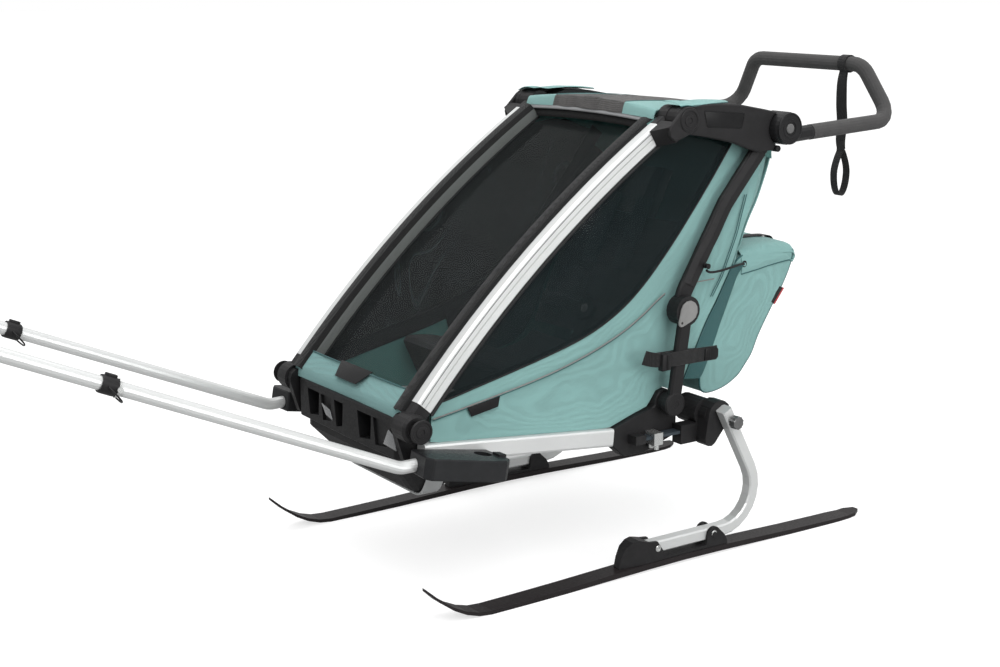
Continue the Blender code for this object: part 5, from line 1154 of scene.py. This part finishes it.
def make_fold_strap():
    """A webbing strap buckled round the lower link, which holds the frame when it is folded."""
    x = LINK_FACE - 0.0005
    line = [(-0.006, 0.402, 0.4145), (-0.001, 0.418, 0.4095), (0.001, 0.440, 0.4060), (0.002, 0.475, 0.4040),
            (0.0015, 0.510, 0.4035), (-0.001, 0.548, 0.4025), (-0.002, 0.586, 0.4015)]
    under = [(-0.010, 0.436, 0.4060), (-0.013, 0.470, 0.4045), (-0.014, 0.500, 0.4040), (-0.008, 0.530, 0.4030),
             (-0.003, 0.550, 0.4025)]
    for name, points, count, section in (("fold_strap", line, 40, flat(0.0290, 0.0026)),
                                         ("fold_strap_back", under, 30, flat(0.0270, 0.0022))):
        path = resampled([Vector((x + out, y, z)) for out, y, z in points], count)
        pair(name, sweep(path, section, across=(0, 0, 1)), WEB, "lower_links", "webbing")
    tip = prism([(-0.0175, -0.0125), (0.0130, -0.0125), (0.0175, -0.0080), (0.0175, 0.0080), (0.0130, 0.0125),
                 (-0.0175, 0.0125)],
                x - 0.0015, x + 0.0030, Vector((0, 0.5700, 0.4018)), (0, 1, -0.03), (0, 0.03, 1), (1, 0, 0))
    pair("fold_strap_tip", tip, BLACK_FINE, "lower_links", "webbing", bevel=0.0012)
    rib = rectangle(0.0006, 0.0105)
    ribs = merged(*[prism(rib, x + 0.0028, x + 0.0037, Vector((0, y, 0.4018))) for y in (0.5585, 0.5650)])
    pair("fold_strap_ribs", ribs, BLACK, "lower_links", "webbing")
    block = [(-0.0115, -0.0185), (0.0115, -0.0175), (0.0125, 0.0160), (-0.0100, 0.0160)]
    block = prism(block, x - 0.004, x + 0.0105, Vector((0, 0.4470, 0.4030)))
    pair("fold_buckle", block, BLACK, "lower_links", "webbing", bevel=0.0022)
    bar = prism(rectangle(0.0030, 0.0150), x + 0.0100, x + 0.0125, Vector((0, 0.4490, 0.4025)))
    pair("fold_buckle_bar", bar, BLACK_FINE, "lower_links", "webbing", bevel=0.0010)


make_hinge_details()
make_brace_ridge()
make_fold_strap()


def make_bungee():
    """An elastic cord from the brace's hook to the corner of the bag's lid."""
    route = [(0.2580, 0.5600, 0.5705), (0.2585, 0.5660, 0.5665), (0.2565, 0.5760, 0.5645), (0.2525, 0.5930, 0.5635),
             (0.2470, 0.6180, 0.5640), (0.2390, 0.6470, 0.5650), (0.2270, 0.6740, 0.5645), (0.2120, 0.6970, 0.5620),
             (0.2010, 0.7130, 0.5585)]
    for word, s in SIDES:
        line = resampled([Vector((x * s, y, z)) for x, y, z in route], 30)
        cord = firm(f"bungee_{word}", tube(line, 0.0025, 10, (0, 0, 1)), RUBBER, "webbing")
        eye = lathe([(0.0030, -0.001), (0.0075, -0.001), (0.0075, 0.0012), (0.0055, 0.0022), (0.0030, 0.0012)],
                    Vector((0.1995 * s, 0.7150, 0.5580)), (s, 0, 0), 20)
        firm(f"bungee_eye_{word}", eye, BLACK_FINE, "webbing")


def make_gusset():
    """The dark teal band between the cabin's side and the bag."""
    left = resampled([(0.6751, 0.5630), (0.6542, 0.5270), (0.6334, 0.4911), (0.6073, 0.4516), (0.5765, 0.3916),
                      (0.5580, 0.3540), (0.5510, 0.3390)], 30)
    right = resampled([(0.7120, 0.5585), (0.6925, 0.5352), (0.6775, 0.5027), (0.6520, 0.4458), (0.6265, 0.3846),
                       (0.6100, 0.3490), (0.5990, 0.3330)], 30)
    rows = ruled(at(left, 0.2085), at(right, 0.2032), 5)
    soft_pair("bag_gusset", shell(rows, 0.0016, creased(20, 0.0008)), TEAL_DARK, "teal_fabric")


make_bungee()
make_gusset()


def make_handle_details():
    bar = Vector((STRAP_X, 1.0719, 0.9510))
    collar = lathe([(0.0166, -0.0105), (0.0192, -0.0105), (0.0192, 0.0105), (0.0166, 0.0105)], bar, (1, 0, 0), 32)
    band = [(0, -0.010, -0.0150), (0.001, -0.0150, -0.040), (0.001, -0.0140, -0.085), (0, -0.0085, -0.125),
            (-0.001, -0.0095, -0.165), (0, -0.0075, -0.185)]
    band = [bar + Vector(p) for p in band]
    turn = lambda i: Vector((1, 0.55 * math.sin(math.pi * i / 40), 0))
    strap = sweep(resampled(band, 40), flat(0.0210, 0.0024), across=turn)
    second = sweep([p + Vector((0.001, 0.0034, 0)) for p in resampled(band, 40)], flat(0.0200, 0.0022), across=turn)
    loop = []
    for k in range(48):
        t = 2 * math.pi * k / 48
        width = 0.0195 * (1 - 0.55 * max(0.0, math.cos(t)) ** 1.5)
        loop.append(bar + Vector((0, -0.0055 + width * math.sin(t), -0.2360 + 0.0500 * math.cos(t))))
    ring_band = sweep(loop, flat(0.0200, 0.0024), across=(1, 0, 0), closed=True)
    sewn = bar + Vector((0, -0.0095, -0.1780))
    stitch = prism(rectangle(0.0090, 0.0110), -0.0008, 0.0052, sewn, (1, 0, 0), (0, 0, 1), (0, 1, 0))
    obj = piece("strap_collar", collar, WEB, "wrist_strap_body", "webbing")
    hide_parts("wrist_strap")
    for name, form in (("strap_band", strap), ("strap_second", second), ("strap_loop", ring_band),
                       ("strap_stitch", stitch)):
        piece(name, form, WEB, "wrist_strap_body", "webbing")


make_handle_details()


def make_front_details():
    """Reflectors in the bumper's pockets and on the wings."""
    pockets = [[(-0.0880, 0.3260), (-0.0560, 0.3190), (-0.0450, 0.3010), (-0.0700, 0.3060)],
               [(0.1500, 0.3020), (0.1680, 0.3330), (0.1880, 0.3250), (0.1960, 0.2990)]]
    for index, corners in enumerate(pockets):
        plate = prism(corners, 0.0, 0.0030, Vector((0, -0.1180, 0)), (1, 0, 0), (0, 0, 1), (0, -1, 0))
        piece(f"bumper_reflector_{index}", plate, REFLECT, "chassis", "black_moulding", bevel=0.0008)
    wing = [(-0.0420, 0.2870), (0.0420, 0.2715), (0.0405, 0.2520), (-0.0435, 0.2675)]
    wing = prism(wing, WING_FACE - 0.0006, WING_FACE + 0.0012)
    pair("wing_reflector", wing, GREY_PANEL, "chassis", "black_moulding", bevel=0.0006)


make_front_details()


def make_pole_details():
    """A band, a bent wire bail and a pin at each pole's joint."""
    for word, s in SIDES:
        a, b = (Vector((x * s, y, z)) for x, y, z in POLE_LINE)
        along = (b - a).normalized()
        joint = a.lerp(b, POLE_BAND)
        ring = lathe([(0.0125, -0.014), (0.0150, -0.014), (0.0156, -0.010), (0.0156, 0.010), (0.0150, 0.014),
                      (0.0125, 0.014)], joint, along, 32)
        piece(f"pole_band_{word}", ring, BLACK, "chassis", "black_moulding")
        side = along.cross(Vector((0, 0, 1))).normalized()
        up = side.cross(along).normalized()
        bail = [joint + side * 0.0165 + along * -0.004, joint + side * 0.022 + along * 0.006 - up * 0.006,
                joint + side * 0.020 + along * 0.022 - up * 0.015, joint + along * 0.030 - up * 0.0200,
                joint - side * 0.020 + along * 0.022 - up * 0.015, joint - side * 0.022 + along * 0.006 - up * 0.006,
                joint - side * 0.0165 + along * -0.004]
        piece(f"pole_bail_{word}", tube(resampled(bail, 48), 0.0016, 8, tuple(up)), BLACK_FINE, "chassis", "steel")
        pin = prism(rectangle(0.004, 0.010), 0.0125, 0.0195, joint, side, along, up)
        piece(f"pole_pin_{word}", pin, BLACK_FINE, "chassis", "black_moulding", bevel=0.001)


make_pole_details()


def make_ski_details():
    """Screws with steel rings on the ski mounts."""
    ring_profile = [(0.0, -0.001), (0.0066, -0.001), (0.0066, 0.0010), (0.0058, 0.0018), (0.0040, 0.0018),
                    (0.0036, 0.0006), (0.0, 0.0006)]
    for name, place in (("front", Vector((0.3953, 0.0435))), ("rear", Vector((0.5410, 0.0450)))):
        disc(ring_profile, place, MOUNT_FACE, STEEL, f"mount_screw_{name}", "axle", "steel", 24)


make_ski_details()


# Every sheet of cloth or film, with the size it was cut to


def cloth(name, flat, held, rests_on, with_pieces=()):
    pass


cloth("side_window", (0.30, 0.84), "stretched", ["side_panel_{}"],
      ["window_piping_{}", "window_hem_{}", "window_fold_{}"])
cloth("side_return", (0.06, 0.60), "stretched", ["side_panel_{}", "back_panel"])
cloth("side_shade_sheet", (0.42, 0.95), "hung", ["side_panel_{}"])
cloth("front_film", (0.36, 0.78), "stretched", ["front_cover"])
cloth("cover_flange", (0.11, 0.80), "folded", ["front_upright_{}"], ["cover_piping_{}"])
cloth("cover_foot", (0.42, 0.12), "stretched", ["front_cover", "front_bumper"], ["cover_foot_hem", "cover_badge"])
cloth("canopy_flap", (0.075, 0.20), "laid", ["side_moulding_{}"], ["canopy_flap_rim_{}"])
cloth("canopy_side", (0.075, 0.36), "hung", ["side_moulding_{}"])
cloth("back_vent", (0.21, 0.18), "stretched", ["back_panel"], ["back_vent_binding"])
cloth("headrest_net", (0.17, 0.12), "stretched", ["seat"])
cloth("seat_front_fall", (0.38, 0.34), "draped", ["seat"])
cloth("seat_wing", (0.10, 0.52), "hung", ["seat"])
cloth("bag_body", (0.40, 0.85), "hung", ["rear_cross_tube", "back_panel"],
      ["bag_piping_left", "bag_piping_right", "bag_tag", "bag_tag_edge"])
cloth("bag_side", (0.32, 0.34), "hung", ["cargo_bag"], ["bag_seam_{}"])
cloth("bag_lid", (0.44, 0.24), "laid", ["cargo_bag"],
      ["lid_strap_left", "lid_strap_right", "lid_buckle_left", "lid_buckle_right"])
cloth("lid_skirt", (0.06, 0.17), "hung", ["cargo_bag"], ["lid_hem_{}"])
cloth("bag_gusset", (0.06, 0.32), "gathered", ["side_panel_{}"])


# Stage, light and camera

floor_mesh = bpy.data.meshes.new("floor")
floor_mesh.from_pydata([(-40, -40, 0), (40, -40, 0), (40, 40, 0), (-40, 40, 0)], [], [(0, 1, 2, 3)])
floor = bpy.data.objects.new("floor", floor_mesh)
scene.collection.objects.link(floor)
paper = Finish("floor_paper", (0.42, 0.42, 0.42), 0.9, mottle=0.004, mottle_scale=3.0)
glow = paper.add("Emission")
seen = paper.tree.nodes.new("ShaderNodeLightPath").outputs["Is Camera Ray"]
paper.tree.links.new(paper.math("MULTIPLY", seen, 0.66), glow.inputs["Strength"])
both = paper.add("AddShader")
paper.tree.links.new(paper.shader.outputs[0], both.inputs[0])
paper.tree.links.new(glow.outputs[0], both.inputs[1])
paper.tree.links.new(both.outputs[0], paper.out.inputs[0])
floor_mesh.materials.append(paper.material)


def make_world():
    """White to the camera; to everything else a pale ceiling over a darker horizon."""
    world = bpy.data.worlds.new("studio")
    scene.world = world
    world.use_nodes = True
    tree = world.node_tree
    sky = tree.nodes["Background"]
    split = tree.nodes.new("ShaderNodeSeparateXYZ")
    tree.links.new(tree.nodes.new("ShaderNodeTexCoord").outputs["Generated"], split.inputs[0])
    height = tree.nodes.new("ShaderNodeMapRange")
    for socket, value in (("From Min", -0.05), ("From Max", 0.75), ("To Min", 0.34), ("To Max", 1.15)):
        height.inputs[socket].default_value = value
    tree.links.new(split.outputs["Z"], height.inputs["Value"])
    choose = tree.nodes.new("ShaderNodeMix")
    tree.links.new(tree.nodes.new("ShaderNodeLightPath").outputs["Is Camera Ray"], choose.inputs[0])
    tree.links.new(height.outputs[0], choose.inputs[2])
    choose.inputs[3].default_value = 1.0
    tree.links.new(choose.outputs[0], sky.inputs["Strength"])
    sky.inputs["Color"].default_value = (1.0, 1.0, 1.0, 1.0)


make_world()


def lamp(name, place, target, size, power, tint=(1, 1, 1)):
    data = bpy.data.lights.new(name, "AREA")
    data.shape = "RECTANGLE"
    data.size, data.size_y = size
    data.energy = power
    data.color = tint
    obj = bpy.data.objects.new(name, data)
    scene.collection.objects.link(obj)
    obj.location = Vector(place)
    obj.rotation_euler = (Vector(target) - Vector(place)).to_track_quat("-Z", "Y").to_euler()


lamp("key", (2.6, -0.6, 3.2), (0, 0.1, 0.4), (2.4, 2.4), 74)
lamp("side", (4.2, 1.4, 1.3), (0.1, 0.3, 0.4), (3.0, 2.0), 72)
lamp("top", (-0.6, 0.4, 3.6), (0, 0.1, 0.4), (2.6, 2.6), 40)
lamp("front", (-2.2, -3.2, 2.0), (0, 0.0, 0.4), (2.2, 2.2), 14)

azimuth, elevation = math.radians(55.61151), math.radians(12.85228)
behind = Vector((math.sin(azimuth) * math.cos(elevation), -math.cos(azimuth) * math.cos(elevation),
                 math.sin(elevation)))
lens = bpy.data.cameras.new("photo_camera")
lens.sensor_fit = "HORIZONTAL"
lens.sensor_width = 36.0
lens.lens = 57.770
lens.clip_end = 200
camera = bpy.data.objects.new("photo_camera", lens)
scene.collection.objects.link(camera)
camera.location = (2.60388, -1.36097, 1.15445)
camera.rotation_euler = (-behind).to_track_quat("-Z", "Y").to_euler()
scene.camera = camera
scene.view_settings.view_transform = "Standard"
